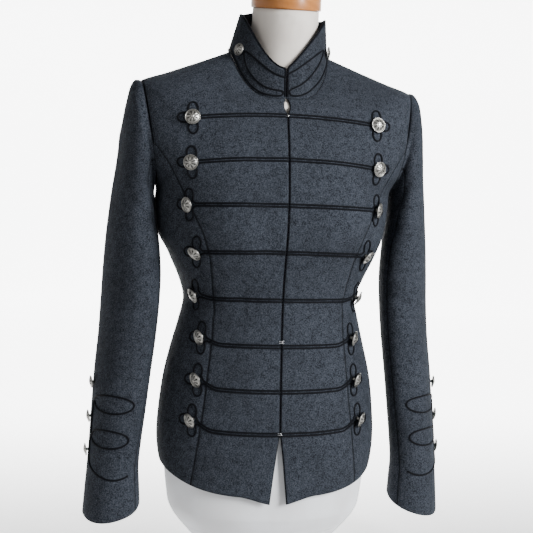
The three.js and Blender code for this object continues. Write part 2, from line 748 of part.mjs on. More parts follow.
// One length of cord: out along the row, round the three lobes, and back beside itself
function froggingPath(row) {
  const end = frontDistance(row.button, row.z);
  const start = frontGap(row.z) + 0.2;
  const stations = 8;
  const join = end - 7;
  const centreZ = row.z + rowRise(row, end, end);
  const path = [];
  const straight = (side) => {
    const line = [];
    for (let i = 0; i < stations; i++) {
      const distance = start + (join - start) * (i / (stations - 1));
      const z = row.z + rowRise(row, distance, end) + side * CORD_PITCH / 2;
      line.push(frontAt(distance, z));
    }
    return line;
  };
  path.push(...straight(1));
  const lobeSteps = 18;
  const from = 38;
  for (let i = 0; i <= lobeSteps; i++) {
    const angle = (from + (360 - 2 * from) * (i / lobeSteps)) * Math.PI / 180;
    const reach = LOBE_NECK + (LOBE_REACH - LOBE_NECK) * Math.abs(Math.cos(2 * angle)) ** 1.1;
    const distance = end - reach * Math.cos(angle);
    path.push(frontAt(distance, centreZ + reach * Math.sin(angle)));
  }
  path.push(...straight(-1).reverse());
  const cloth = named('front_left', 'side_front_left');
  return {
    path: settle(path, cloth),
    centre: drape(frontAt(end, centreZ), cloth),
  };
}

// A domed button on a shank: rings of radius and height along its axis
function button(size, seat) {
  const r = size.radius;
  const stand = size.stand;
  const profile = [
    [size.shank, 0], [size.shank, stand], [r * 0.94, stand + 0.2], [r, stand + size.rim],
    [r * 0.84, stand + size.rim], [r * 0.5, stand + size.rim * 0.8 + size.dome * 0.75],
  ];
  const vertices = [];
  const index = [];
  const k = size.sides;
  const place = (radius, height, j) => {
    const angle = (j / k) * Math.PI * 2;
    const p = seat.point.clone()
      .addScaledVector(seat.normal, height + SEAM + 0.1)
      .addScaledVector(seat.across, radius * Math.cos(angle))
      .addScaledVector(seat.along, radius * Math.sin(angle));
    vertices.push(p.x, p.y, p.z);
  };
  for (const [radius, height] of profile) for (let j = 0; j < k; j++) place(radius, height, j);
  const low = profile.length * k;
  place(0, 0, 0);
  place(0, stand + size.rim * 0.8 + size.dome, 0);
  for (let i = 0; i < profile.length - 1; i++) {
    for (let j = 0; j < k; j++) {
      const a = i * k + j;
      const b = i * k + (j + 1) % k;
      index.push(a, b, b + k, a, b + k, a + k);
    }
  }
  const top = (profile.length - 1) * k;
  for (let j = 0; j < k; j++) {
    const next = (j + 1) % k;
    index.push(low, next, j);
    index.push(low + 1, top + j, top + next);
  }
  return geometry(vertices, index);
}

function seatOn(place, tilt) {
  const normal = place.normal.clone();
  normal.z += tilt;
  normal.normalize();
  const along = new THREE.Vector3(0, 0, 1).addScaledVector(normal, -normal.z).normalize();
  const across = along.clone().cross(normal).normalize();
  return { point: place.point.clone(), normal, across, along };
}

ROWS.forEach((row, i) => {
  const { path, centre } = froggingPath(row);
  addPair(`frog_row${i + 1}`, cord(path, CORD_WIDTH, CORD_RISE), COLOR.cord, 0.8, 0);
  addPair(`button_row${i + 1}`, button(BUTTON, seatOn(centre, 0)), COLOR.pewter, 0.4, 0.85);
});

// Cuff cord: two long loops between the buttons and a sweep round the cuff below them
function sleeveAtHeight(w, z) {
  let lo = 8;
  let hi = LAST;
  for (let i = 0; i < 40; i++) {
    const mid = (lo + hi) / 2;
    if (sleeve(w, mid).z > z) lo = mid;
    else hi = mid;
  }
  const s = (lo + hi) / 2;
  const point = sleeve(w, s);
  const normal = sleeveNormal(w, s);
  const axis = sleeve(w + 0.5, s).sub(point);
  if (normal.dot(axis) > 0) normal.multiplyScalar(-1);
  return { point, normal };
}

function cuffPath() {
  const flat = [];
  for (const loop of CUFF_LOOPS) {
    const half = loop.tall / 2;
    const steps = 9;
    for (let i = 0; i <= steps; i++) {
      const angle = 2 * Math.PI * (0.04 + 0.92 * (i / steps));
      const share = (1 - Math.cos(angle)) / 2;
      const tall = half * Math.sin(angle) * share ** 0.1;
      const z = loop.z + Math.sign(Math.sin(angle)) * Math.max(Math.abs(tall), LOOP_PINCH);
      flat.push([loop.from + (loop.to - loop.from) * share, z]);
    }
  }
  for (const spot of CUFF_SWEEP) flat.push(spot);
  const cloth = named('sleeve_upper_left');
  return settle(finer(flat, 2).map(([w, z]) => sleeveAtHeight(w, z)), cloth);
}
addPair('cuff_cord', cord(cuffPath(), CORD_WIDTH, CORD_RISE), COLOR.cord, 0.8, 0);
CUFF_BUTTON_Z.forEach((z, i) => {
  const place = drape(sleeveAtHeight(CUFF_BUTTON_AT, z), named('sleeve_upper_left'));
  addPair(`button_cuff${i + 1}`, button(SMALL_BUTTON, seatOn(place, 0)), COLOR.pewter, 0.4, 0.85);
});

// Collar cord: a leaf from the front to the side button, then along the neck seam
const COLLAR_CORD = {
  left: [
    [0.006, 0.79], [0.03, 0.75], [0.065, 0.715], [0.1, 0.67], [0.13, 0.6], [0.143, 0.54],
    [0.133, 0.48], [0.112, 0.44], [0.08, 0.395], [0.045, 0.325], [0.016, 0.28], [0.009, 0.2],
    [0.02, 0.08], [0.06, 0.1], [0.09, 0.14], [0.13, 0.13], [0.19, 0.1], [0.28, 0.08],
    [0.4, 0.09], [0.497, 0.09],
  ],
  right: [
    [0.006, 0.7], [0.04, 0.71], [0.075, 0.695], [0.11, 0.625], [0.138, 0.53], [0.146, 0.45],
    [0.14, 0.36], [0.125, 0.28], [0.1, 0.255], [0.06, 0.235], [0.016, 0.235], [0.009, 0.17],
    [0.02, 0.07], [0.06, 0.06], [0.12, 0.06], [0.18, 0.06], [0.25, 0.07], [0.33, 0.08],
    [0.42, 0.09], [0.497, 0.09],
  ],
};
const COLLAR_BUTTON = { left: [0.168, 0.37], right: [0.163, 0.38] };
for (const [side, turn] of [['left', (u) => u], ['right', (u) => 1 - u]]) {
  const onCollar = ([u, h]) => ({ point: collar(turn(u), h), normal: collarNormal(turn(u), h) });
  const path = settle(finer(COLLAR_CORD[side], 2).map(onCollar), named('collar'));
  add(`collar_cord_${side}`, cord(path, CORD_WIDTH, CORD_RISE), COLOR.cord, 0.8, 0);
  const seat = seatOn(drape(onCollar(COLLAR_BUTTON[side]), named('collar')), 0);
  add(`button_collar_${side}`, button(SMALL_BUTTON, seat), COLOR.pewter, 0.4, 0.85);
}

// Dress form: closed body of rings from its flat underside to the top of the neck
function closedRings(rings, columnsFront, columnsBack) {
  const shares = [];
  for (let j = 0; j < columnsFront; j++) shares.push([0.25 * j / columnsFront, 1]);
  for (let j = 0; j < columnsBack; j++) shares.push([0.25 + 0.25 * j / columnsBack, 1]);
  for (let j = columnsBack; j > 0; j--) shares.push([0.25 + 0.25 * j / columnsBack, -1]);
  for (let j = columnsFront; j > 0; j--) shares.push([0.25 * j / columnsFront, -1]);
  const vertices = [];
  const index = [];
  const k = shares.length;
  for (const ring of rings) {
    for (const [u, side] of shares) {
      const p = ring(u);
      vertices.push(p.x * side + (ring.shift ?? 0), p.y, p.z);
    }
  }
  const middle = (at) => {
    const c = new THREE.Vector3();
    for (let j = 0; j < k; j++) {
      c.x += vertices[(at + j) * 3] / k;
      c.y += vertices[(at + j) * 3 + 1] / k;
      c.z += vertices[(at + j) * 3 + 2] / k;
    }
    vertices.push(c.x, c.y, c.z);
    return vertices.length / 3 - 1;
  };
  for (let i = 0; i < rings.length - 1; i++) {
    for (let j = 0; j < k; j++) {
      const a = i * k + j;
      const b = i * k + (j + 1) % k;
      index.push(a, b, b + k, a, b + k, a + k);
    }
  }
  const top = (rings.length - 1) * k;
  const low = middle(0);
  const high = middle(top);
  for (let j = 0; j < k; j++) {
    const next = (j + 1) % k;
    index.push(low, next, j);
    index.push(high, top + j, top + next);
  }
  return geometry(vertices, index);
}

// The form under the cloth: drawn in by the wall and the ease, and flat at the armholes
function formRing(v) {
  return (u) => {
    const inset = CLOTH + lookup(FORM_EASE, v);
    const p = body(u, v).addScaledVector(bodyNormal(u, v), -inset);
    if (v > ROW_UNDERARM - 2 && v <= ROW_SHOULDER) {
      const limit = armholeX(Math.max(p.z, ARMHOLE.lowZ)) - 7;
      const soft = 12;
      if (p.x > limit - soft) p.x = limit - soft * Math.exp(-(p.x - limit + soft) / soft);
    }
    if (u === 0 || u === 0.5) p.x = 0;
    return p;
  };
}

const formRows = [2, 5, 8, 10.5, 13, 15, 16.5, 17.5, 18, 19, 20, 21, 22];
const lowerRings = FORM_LOWER.map((row) => makeRing(row, 0).at);
function shiftedRing(row) {
  const ring = makeRing(row, 0).at;
  ring.shift = row.x;
  return ring;
}
const neckRings = NECK.map(shiftedRing);
add(
  'form_torso',
  closedRings([...lowerRings, ...formRows.map(formRing), ...neckRings], FRONT_COLUMNS, BACK_COLUMNS),
  COLOR.form, 0.9, 0,
);

// Turned wooden cap on the neck, leaning with it
function capRing(grow, lift) {
  const row = NECK[NECK.length - 1];
  const raised = {
    ...row, zf: row.zf + lift, zs: row.zs + lift, zb: row.zb + lift,
    a: row.a + grow, f: row.f + grow, b: row.b + grow,
  };
  return shiftedRing(raised);
}
add(
  'form_cap',
  closedRings([
    capRing(0, SEAM),
    capRing(CAP.grow, SEAM + 1.5),
    capRing(CAP.grow, CAP.height - CAP.crown),
    capRing(CAP.grow - CAP.crown, CAP.height),
  ], FRONT_COLUMNS, BACK_COLUMNS),
  COLOR.wood, 0.45, 0,
);

export default group;
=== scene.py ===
"""Fitted wool jacket with cord frogging, worn on a limbless dress form.

Sizes are in millimetres until a mesh is made; finishes, threads and the studio are in
metres. +Z is up and the front faces -Y.
"""
import math

import bpy
import numpy as np
from mathutils import Matrix


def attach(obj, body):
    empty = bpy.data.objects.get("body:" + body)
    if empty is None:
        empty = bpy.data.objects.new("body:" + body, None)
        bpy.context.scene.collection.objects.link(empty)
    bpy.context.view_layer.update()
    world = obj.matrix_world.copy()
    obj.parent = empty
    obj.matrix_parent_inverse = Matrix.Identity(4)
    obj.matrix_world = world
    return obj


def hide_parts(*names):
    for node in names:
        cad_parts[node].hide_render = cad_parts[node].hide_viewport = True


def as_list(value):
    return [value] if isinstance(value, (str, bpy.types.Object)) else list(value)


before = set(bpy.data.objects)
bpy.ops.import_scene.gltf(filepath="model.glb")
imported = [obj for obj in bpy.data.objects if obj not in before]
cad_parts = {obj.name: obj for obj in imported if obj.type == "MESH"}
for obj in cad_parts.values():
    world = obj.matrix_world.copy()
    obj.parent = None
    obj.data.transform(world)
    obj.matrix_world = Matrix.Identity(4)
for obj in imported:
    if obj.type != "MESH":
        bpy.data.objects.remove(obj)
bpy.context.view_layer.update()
MM = 0.001


# Camera

EYE = {"distance": 1450, "height": 492, "round": 10.41, "roll": 1.85}
LENS_MM = 69.03
SENSOR_MM = 36
SHIFT = (-0.0108, -0.1268)    # the optical axis stands right of and above the frame's centre


def add_object(name, data):
    made = bpy.data.objects.new(name, data)
    bpy.context.collection.objects.link(made)
    return made


def stand(thing, right, up, away, place):
    """Turn an object to its own three axes and put it at a place in metres."""
    matrix = Matrix.Identity(4)
    for j, column in enumerate((right, up, away, place)):
        for i in range(3):
            matrix[i][j] = column[i]
    thing.matrix_world = matrix


def place_camera():
    data = bpy.data.cameras.new("studio_camera")
    data.lens, data.sensor_width = LENS_MM, SENSOR_MM
    data.shift_x, data.shift_y = SHIFT
    camera = add_object("studio_camera", data)
    turn, roll = math.radians(EYE["round"]), math.radians(EYE["roll"])
    ahead = np.array([math.sin(turn), math.cos(turn), 0])
    side = np.array([math.cos(turn), -math.sin(turn), 0])
    up = np.array([0, 0, 1.0])
    right = math.cos(roll) * side + math.sin(roll) * up
    top = math.cos(roll) * up - math.sin(roll) * side
    place = -ahead * EYE["distance"] + up * EYE["height"]
    stand(camera, right, top, -ahead, place * MM)
    bpy.context.scene.camera = camera


place_camera()


# Sizes

CLOTH = 2.2
COLLAR_WALL = 3.0
SEAM = 0.3                    # gap between neighbouring pieces
LAP = SEAM + 0.1              # gap at the armhole and at the neck seam
CORD_PITCH = 3.6              # centre to centre of the doubled cord

# Frogging rows: height, rise to the end, kick over the last part, the button's distance
ROWS = [
    (603, -7.5, 0, 125), (544, -7.5, 0, 126), (484, -3, 0, 127), (422, -3, 0, 115),
    (358, -2, 4, 110), (297, 0, 7, 103), (238, 2, 9, 107), (183, 3, 10, 113),
]
KICK_LENGTH = 30
LOBE_REACH = 21               # trefoil centre to the middle of a lobe's cord
LOBE_NECK = 6.2               # the same where two lobes meet
LOBE_TURN = (38, 322, 132)    # degrees where the cord enters and leaves the trefoil, points

# Front edges: hooked from HOOK_TOP to HOOK_LOW, open in a V below and in a gap above
HOOK_LOW = 181
HEM_POINT = 90
V_HALF = 11
HOOK_TOP = 605
NECK_GAP_HALF = 3.4
NECK_GAP_TALL = 24

# Body rings: height at front, side and back, half width, depth in front and behind,
# squareness, power of the height change
BODY = np.array([
    (90, 124, 120, 148, 113, 121, 2.2, 3.5),
    (118, 138, 136, 151, 113, 123, 2.2, 3.5),
    (150, 156, 155, 153, 113, 123, 2.2, 3),
    (180, 180, 180, 153, 112, 121, 2.2, 2),
    (215, 215, 215, 150, 109, 116, 2.2, 2),
    (250, 250, 250, 145, 106, 110, 2.2, 2),
    (285, 285, 285, 137, 103, 102, 2.2, 2),
    (320, 320, 320, 128, 101, 95, 2.2, 2),
    (351, 351, 351, 122, 101, 91, 2.2, 2),
    (380, 380, 380, 129.5, 105, 92, 2.35, 2),
    (412, 412, 412, 144, 113, 97, 2.45, 2),
    (443, 443, 443, 156, 121, 103, 2.45, 2),
    (478, 478, 478, 161.5, 124, 108, 2.4, 2),
    (507, 507, 507, 165, 122, 111, 2.4, 2),
    (535, 535, 535, 182, 117, 113, 2.5, 2),
    (568, 570, 570, 195, 108, 112, 2.6, 3),
    (593, 610, 606, 200, 99, 107, 2.6, 3),
    (604, 638, 638, 197, 94, 97, 2.6, 3),
    (611, 650, 656, 190, 91, 91, 2.5, 3),
    (616, 661, 674, 160, 88, 84, 2.4, 3),
    (620, 672.5, 690, 130, 85.5, 76, 2.3, 3.2),
    (624, 684, 702, 100, 83, 68, 2.25, 3.6),
    (627, 696, 712, 70, 80, 60, 2.2, 4),
])
ROW_UNDERARM, ROW_SHOULDER, ROW_NECK = 13, 18, 22
BUST = {"x": 80, "z": 458, "wide": 44, "tall": 46, "full": 8}
ARMHOLE = {"low": 165, "low_z": 507, "high": 190, "high_z": 650}
FRONT_PRINCESS = np.array([
    (90, 115), (124, 111), (220, 99), (306, 90), (351, 88), (410, 97), (445, 109),
    (462, 118), (490, 130), (521, 146), (542, 158.5), (562, 173),
])
BACK_PRINCESS = np.array([
    (120, 66), (220, 60), (351, 50), (420, 64), (470, 84), (520, 118), (545, 143), (562, 172),
])
SIDE_TOP, SIDE_TIP, PRINCESS_TOP = 14.62, 14.75, 14.78    # where the side panels run out

COLLAR_SHIFT = 5.6
COLLAR_TOP = np.array((668, 747, 764, 61, 78, 38, 2.1, 1.2))
COLLAR_TOP_RIGHT = np.array((668, 750, 764, 61, 78, 38, 2.1, 1.95))

# Sleeve rings: underarm x and z, outer x and z, front and back depth, lean, dip at the front
SLEEVE = np.array([
    (167.5, 503, 199, 650, 60, 62, 0, 0),
    (168.5, 499, 205, 640, 62, 63, 0, 0),
    (169, 494, 209, 622, 62, 62, 0.03, 0),
    (168.5, 488, 213, 600, 61, 61, 0.06, 0),
    (168, 480, 216.5, 568, 60, 59, 0.1, 0),
    (167, 470, 220, 533, 59, 58, 0.14, 0),
    (164, 450, 225.5, 490, 58, 56, 0.18, 0),
    (159.5, 424, 230.5, 440, 57, 54, 0.23, 0),
    (156.5, 385, 233.5, 388, 57, 53, 0.26, 0),
    (157.5, 345, 235, 345, 58, 51, 0.28, 0),
    (161, 300, 237, 300, 59, 46, 0.28, 0),
    (166.5, 250, 241, 249, 60.5, 39, 0.27, 0),
    (171.5, 202, 243.5, 198, 61, 32, 0.25, 0),
    (176, 160, 245.5, 153, 60.5, 26, 0.22, 0),
    (178.5, 127, 247.5, 118, 60.5, 23, 0.2, 0),
    (177, 101, 249.5, 88, 62, 24.5, 0.2, 4),
    (175.5, 77, 251.5, 55, 63.5, 26, 0.2, 9),
])
SLEEVE_LAST = len(SLEEVE)
SLEEVE_SQUARE = 2.15
FOREARM_SEAM = (0.16, 0.14)
HINDARM_SEAM = (0.7, 0.57)
CUFF_BUTTON_Z = (234, 188, 143)
CUFF_BUTTON_AT = 0.525
CUFF_LOOPS = [(211, 25, 0.49, 0.225), (165, 25, 0.49, 0.225)]
LOOP_PINCH = 2
CUFF_SWEEP = [
    (0.494, 152), (0.49, 141), (0.47, 129), (0.41, 120), (0.33, 113.5), (0.26, 113), (0.2, 118),
]
COLLAR_CORD = {
    "left": [
        (0.006, 0.79), (0.03, 0.75), (0.065, 0.715), (0.1, 0.67), (0.13, 0.6), (0.143, 0.54),
        (0.133, 0.48), (0.112, 0.44), (0.08, 0.395), (0.045, 0.325), (0.016, 0.28), (0.009, 0.2),
        (0.02, 0.08), (0.06, 0.1), (0.09, 0.14), (0.13, 0.13), (0.19, 0.1), (0.28, 0.08),
        (0.4, 0.09), (0.497, 0.09),
    ],
    "right": [
        (0.006, 0.7), (0.04, 0.71), (0.075, 0.695), (0.11, 0.625), (0.138, 0.53), (0.146, 0.45),
        (0.14, 0.36), (0.125, 0.28), (0.1, 0.255), (0.06, 0.235), (0.016, 0.235), (0.009, 0.17),
        (0.02, 0.07), (0.06, 0.06), (0.12, 0.06), (0.18, 0.06), (0.25, 0.07), (0.33, 0.08),
        (0.42, 0.09), (0.497, 0.09),
    ],
}
COLLAR_BUTTON = {"left": (0.168, 0.37), "right": (0.163, 0.38)}

# Form: ease under the cloth by body row, rings below the cloth, neck rings with level and x
FORM_EASE = np.array([
    (0, 6), (6, 5), (13, 4), (17.5, 6), (18, 5.2), (19, 0.7), (21, 0.7), (22, 1.1),
])
FORM_LOWER = np.array([
    (0, 0, 0, 78, 58, 62, 2.1, 2),
    (20, 20, 20, 98, 73, 78, 2.1, 2),
    (41, 41, 41, 117, 87, 94, 2.15, 2),
    (60, 60, 60, 131, 98, 106, 2.2, 2),
    (78, 82, 82, 137, 102, 111, 2.2, 2),
])
NECK = np.array([
    (637, 704, 720, 59, 72, 48, 2.1, 3.4, 0.2, 3),
    (652, 714, 729, 51, 69, 38, 2.05, 3, 0.5, 6),
    (690, 733, 746, 47, 69, 28, 2, 2, 1, 9),
    (748, 761, 772, 46.5, 71, 22, 2, 2, 1, 10),
])

# Creases: side (+1 wearer's left), from (across, up), to (across, up), bow, width,
# depth (minus is a trough). Across is x on the body, and TURN mm to a full turn on a sleeve.
TURN = 300
FRONT_CREASES = [
    (-1, 158, 500, 156, 425, 0, 14, 4.4),
    (-1, 27, 575, 22, 400, 4, 17, -1.5),
    (1, 30, 560, 26, 430, -4, 16, -1.0),
    (-1, 158, 512, 118, 458, 6, 6, -1.9),
    (1, 158, 516, 124, 470, 5, 6, -1.6),
    (-1, 160, 492, 136, 440, 3, 5, -1.3),
    (1, 156, 482, 128, 436, -4, 5, -1.1),
    (-1, 122, 352, 74, 340, 5, 6, -1.3),
    (1, 124, 344, 84, 352, -4, 6, -1.2),
    (-1, 125, 374, 92, 360, 3, 5, -1.1),
    (1, 128, 372, 88, 378, 3, 5, -0.9),
    (-1, 66, 420, 52, 330, -3, 12, -1.1),
    (1, 58, 414, 62, 326, 4, 12, -0.9),
    (-1, 128, 300, 138, 190, 4, 12, -1.4),
    (1, 124, 290, 134, 200, -4, 12, -1.2),
    (-1, 60, 250, 76, 150, 3, 14, 0.9),
    (1, 50, 240, 64, 140, -3, 14, 0.8),
    (-1, 168, 606, 118, 566, 6, 9, -1.0),
    (1, 170, 600, 128, 556, 5, 9, -1.1),
    (-1, 96, 648, 150, 634, 4, 10, 0.8),
    (1, 92, 650, 146, 630, 4, 10, 0.8),
]
BACK_CREASES = [
    (-1, 158, 500, 156, 425, 0, 14, 4.4),
    (-1, 6, 374, 74, 362, 4, 7, -1.8),
    (1, 10, 366, 78, 376, -4, 7, -1.6),
    (-1, 12, 344, 92, 352, -3, 6, -1.4),
    (1, 8, 338, 84, 340, 4, 6, -1.3),
    (-1, 156, 540, 96, 500, 8, 9, -1.6),
    (1, 160, 534, 102, 508, 7, 9, -1.4),
    (-1, 150, 505, 110, 462, 4, 7, -1.2),
    (1, 152, 498, 112, 450, 5, 7, -1.1),
    (-1, 120, 640, 60, 590, 5, 12, -0.9),
    (1, 116, 644, 62, 596, 5, 12, -0.8),
    (-1, 34, 300, 44, 190, 5, 13, 1.1),
    (1, 30, 290, 38, 180, -4, 13, 1.0),
    (-1, 110, 300, 118, 200, -4, 12, -1.2),
    (1, 112, 296, 122, 196, 4, 12, -1.2),
]
SLEEVE_CREASES = [
    (-1, 0, 504, 0, 432, 0, 30, 2.0),
    (-1, 300, 504, 300, 432, 0, 30, 2.0),
    (-1, 56, 402, 128, 372, 6, 8, -1.9),
    (1, 60, 396, 120, 374, 5, 8, -1.6),
    (-1, 50, 362, 118, 352, -5, 8, -1.8),
    (1, 48, 366, 112, 344, -4, 8, -1.6),
    (-1, 52, 328, 100, 334, 4, 7, -1.3),
    (1, 50, 334, 96, 322, 4, 7, -1.1),
    (-1, 40, 452, 116, 492, 6, 10, -1.5),
    (1, 36, 446, 104, 478, 6, 9, -1.3),
    (-1, 30, 478, 76, 540, 5, 9, -1.6),
    (1, 28, 474, 70, 528, 5, 9, -1.5),
    (-1, 124, 600, 138, 470, 5, 14, -1.0),
    (1, 120, 596, 134, 452, -5, 14, -0.9),
    (-1, 82, 300, 94, 210, -4, 13, -1.1),
    (1, 62, 310, 70, 190, 5, 13, -1.3),
    (-1, 250, 470, 210, 430, 5, 9, -1.5),
    (1, 252, 474, 206, 440, 5, 9, -1.4),
    (-1, 190, 396, 250, 372, -5, 8, -1.7),
    (1, 194, 388, 246, 370, 5, 8, -1.6),
    (-1, 196, 350, 246, 346, 4, 8, -1.3),
    (1, 192, 346, 244, 336, 4, 8, -1.3),
    (-1, 150, 560, 196, 590, 5, 11, 0.9),
    (1, 152, 566, 198, 594, 5, 11, 0.9),
]


# Curves and surfaces

def smoothstep(t):
    t = np.clip(t, 0, 1)
    return t * t * (3 - 2 * t)


def spline(table, t):
    """A row of the table at place t, smooth between its rows."""
    last = len(table) - 1
    t = min(max(t, 0.0), last)
    i = min(int(t), last - 1)
    s = t - i
    p1, p2 = table[i], table[i + 1]
    p0 = table[i - 1] if i else 2 * p1 - p2
    p3 = table[i + 2] if i + 2 <= last else 2 * p2 - p1
    m1, m2 = (p2 - p0) / 2, (p3 - p1) / 2
    return ((2 * s**3 - 3 * s**2 + 1) * p1 + (s**3 - 2 * s**2 + s) * m1
            + (3 * s**2 - 2 * s**3) * p2 + (s**3 - s**2) * m2)


def soft_lookup(pairs, x):
    """The pairs' value at x, with its corners eased over 14 mm."""
    at = [np.interp(x + d, pairs[:, 0], pairs[:, 1]) for d in (-7, 0, 7)]
    return (at[0] + 2 * at[1] + at[2]) / 4


def many(x):
    """One number or several, as an array."""
    return np.atleast_1d(np.asarray(x, float))


def run_along(points):
    """Distance of each point from the first, along the line."""
    return np.concatenate([[0], np.cumsum(np.linalg.norm(np.diff(points, axis=0), axis=1))])


ANGLE = np.linspace(0, math.pi / 2, 289)


def quarter(a, depth, n):
    """A quarter ring as x, y and the run along it."""
    x = a * np.sin(ANGLE) ** (2 / n)
    y = depth * np.maximum(np.cos(ANGLE), 0) ** (2 / n)
    run = np.concatenate([[0], np.cumsum(np.hypot(np.diff(x), np.diff(y)))])
    return x, y, run


def along(arc, share):
    x, y, run = arc
    at = np.clip(share, 0, 1) * run[-1]
    return np.interp(at, run, x), np.interp(at, run, y)


def ring(row, u, dipped=0.0, level=0.0):
    """Points of a ring: u is 0 at the front, 0.25 at the side and 0.5 at the back."""
    zf, zs, zb, a, f, b, n, p = row[:8]
    u = many(u)
    front = u <= 0.25
    xf, df = along(quarter(a, f, n), u / 0.25)
    xb, db = along(quarter(a, b, n), (0.5 - u) / 0.25)
    x = np.where(front, xf, xb)
    depth = np.where(front, df, db)
    t = np.clip(x / a, 0, 1)
    curved = t**p
    hem = dipped * (0.3 * smoothstep(t / 0.36) + 0.7 * curved) + (1 - dipped) * curved
    curved = np.where(front, hem, curved)
    blend = (1 - level) * curved + level * (1 - depth / np.where(front, f, b))
    z0 = np.where(front, zf, zb)
    return np.stack([x, np.where(front, -depth, depth), z0 + (zs - z0) * blend], -1)


def ring_length(v, front=True):
    row = spline(BODY, v)
    return quarter(row[3], row[4] if front else row[5], row[6])[2][-1]


def body(u, v):
    """Points of the jacket's outer surface in row v."""
    u = many(u)
    p = ring(spline(BODY, v), u, dipped=min(max(1 - v / 2, 0), 1))
    far = ((p[:, 0] - BUST["x"]) / BUST["wide"]) ** 2 + ((p[:, 2] - BUST["z"]) / BUST["tall"]) ** 2
    p[:, 1] -= BUST["full"] * np.exp(-far) * smoothstep((0.25 - u) / 0.1)
    return p


# Steps to the neighbours that a normal is worked out from, round and up
NEAR_U, NEAR_V = 0.004, 0.05
NEAR_W, NEAR_S = 0.006, 0.06
NEAR_H = 0.03


def unit(p):
    return p / np.maximum(np.linalg.norm(p, axis=-1, keepdims=True), 1e-9)


def body_normal(u, v):
    u = many(u)
    du = body(np.minimum(u + NEAR_U, 0.5), v) - body(np.maximum(u - NEAR_U, 0), v)
    dv = body(u, min(v + NEAR_V, ROW_NECK)) - body(u, max(v - NEAR_V, 0))
    level = (u < NEAR_U) | (u > 0.5 - NEAR_U)
    du[level, 1:] = 0
    return unit(np.cross(du, dv))


U_FRONT = np.linspace(0, 0.25, 500)
U_BACK = np.linspace(0.5, 0.25, 500)


def u_at_x(v, x, front):
    us = U_FRONT if front else U_BACK
    return float(np.interp(x, body(us, v)[:, 0], us))


def armhole_x(z):
    share = (z - ARMHOLE["low_z"]) / (ARMHOLE["high_z"] - ARMHOLE["low_z"])
    return ARMHOLE["low"] + (ARMHOLE["high"] - ARMHOLE["low"]) * share


def armhole_u(v, front):
    if v <= ROW_UNDERARM or v >= ROW_SHOULDER:
        return 0.25
    us = U_FRONT if front else U_BACK
    p = body(us, v)
    beyond = p[:, 0] - armhole_x(p[:, 2])
    i = int(np.argmax(beyond > 0))
    if beyond[i] <= 0 or i == 0:
        return 0.25
    return float(np.interp(0, beyond[i - 1:i + 1], us[i - 1:i + 1]))


def seam_u(table, v, front):
    u = 0.15 if front else 0.35
    for _ in range(4):
        u = u_at_x(v, soft_lookup(table, body(u, v)[0, 2]), front)
    return u


def front_gap(z):
    if z < HOOK_LOW:
        return SEAM / 2 + V_HALF * ((HOOK_LOW - z) / (HOOK_LOW - HEM_POINT)) ** 0.85
    if z > HOOK_TOP:
        share = min((z - HOOK_TOP) / NECK_GAP_TALL, 1)
        return SEAM / 2 + NECK_GAP_HALF * math.sin(math.pi * share) ** 1.2
    return SEAM / 2


def front_edge(v):
    return u_at_x(v, front_gap(body(0, v)[0, 2]) - SEAM / 2, True)


def front_princess(v):
    return min(seam_u(FRONT_PRINCESS, v, True), armhole_u(v, True))


def back_princess(v):
    return max(seam_u(BACK_PRINCESS, v, False), armhole_u(v, False))


def run_out(v, princess, front):
    """A princess seam, which runs out into the armhole at its top."""
    if v <= SIDE_TOP:
        return princess(v)
    share = min((v - SIDE_TOP) / (PRINCESS_TOP - SIDE_TOP), 1)
    return (1 - share) * princess(SIDE_TOP) + share * armhole_u(max(v, PRINCESS_TOP), front)


def front_outer(v):
    return run_out(v, front_princess, True)


def back_outer(v):
    return run_out(v, back_princess, False)


def sleeve_section(row, w):
    """Points of a sleeve ring: w is 0 at the underarm, 0.25 in front, 0.5 outside."""
    xi, zi, xo, zo, f, b, lean, dip = row
    span = np.array([xo - xi, 0, zo - zi])
    across = np.linalg.norm(span) / 2
    span = span / (2 * across)
    depth = (f + b) / 2
    mid = np.array([(xi + xo) / 2, (b - f) / 2, (zi + zo) / 2])
    thin = math.sqrt(max(across**2 - (lean * depth) ** 2, 1))
    turn = np.mod(many(w), 1)
    part = np.floor(turn * 4).astype(int)
    share = turn * 4 - part
    side, run = along(quarter(depth, thin, SLEEVE_SQUARE), np.where(part % 2 == 0, share, 1 - share))
    q = np.where(part < 2, -side, side)
    p = np.where((part == 0) | (part == 3), -run, run) + lean * q
    points = mid + p[:, None] * span
    points[:, 1] += q
    points[:, 2] -= dip * np.maximum(-q / depth, 0)
    return points


def armhole_curve(front):
    rows = np.linspace(ROW_UNDERARM, ROW_SHOULDER, 161)
    pts = np.array([body(armhole_u(v, front), v)[0] for v in rows])
    run = run_along(pts)
    return pts, run / run[-1]


ARM_FRONT = armhole_curve(True)
ARM_BACK = armhole_curve(False)


def armhole_at(w):
    turn = np.mod(many(w), 1)
    out = np.empty((len(turn), 3))
    for axis in range(3):
        front = np.interp(turn * 2, ARM_FRONT[1], ARM_FRONT[0][:, axis])
        back = np.interp((1 - turn) * 2, ARM_BACK[1], ARM_BACK[0][:, axis])
        out[:, axis] = np.where(turn <= 0.5, front, back)
    out[:, 0] += LAP
    return out


def sleeve(w, s):
    """Points of the sleeve's outer surface at place s, 0 at the armhole."""
    s = min(max(s, 0.0), SLEEVE_LAST)
    low = max(min(int(s), SLEEVE_LAST - 1) - 1, 0)
    high = min(low + 4, SLEEVE_LAST + 1)
    rings = [sleeve_section(SLEEVE[k - 1], w) if k else armhole_at(w) for k in range(low, high)]
    return spline(rings, s - low)


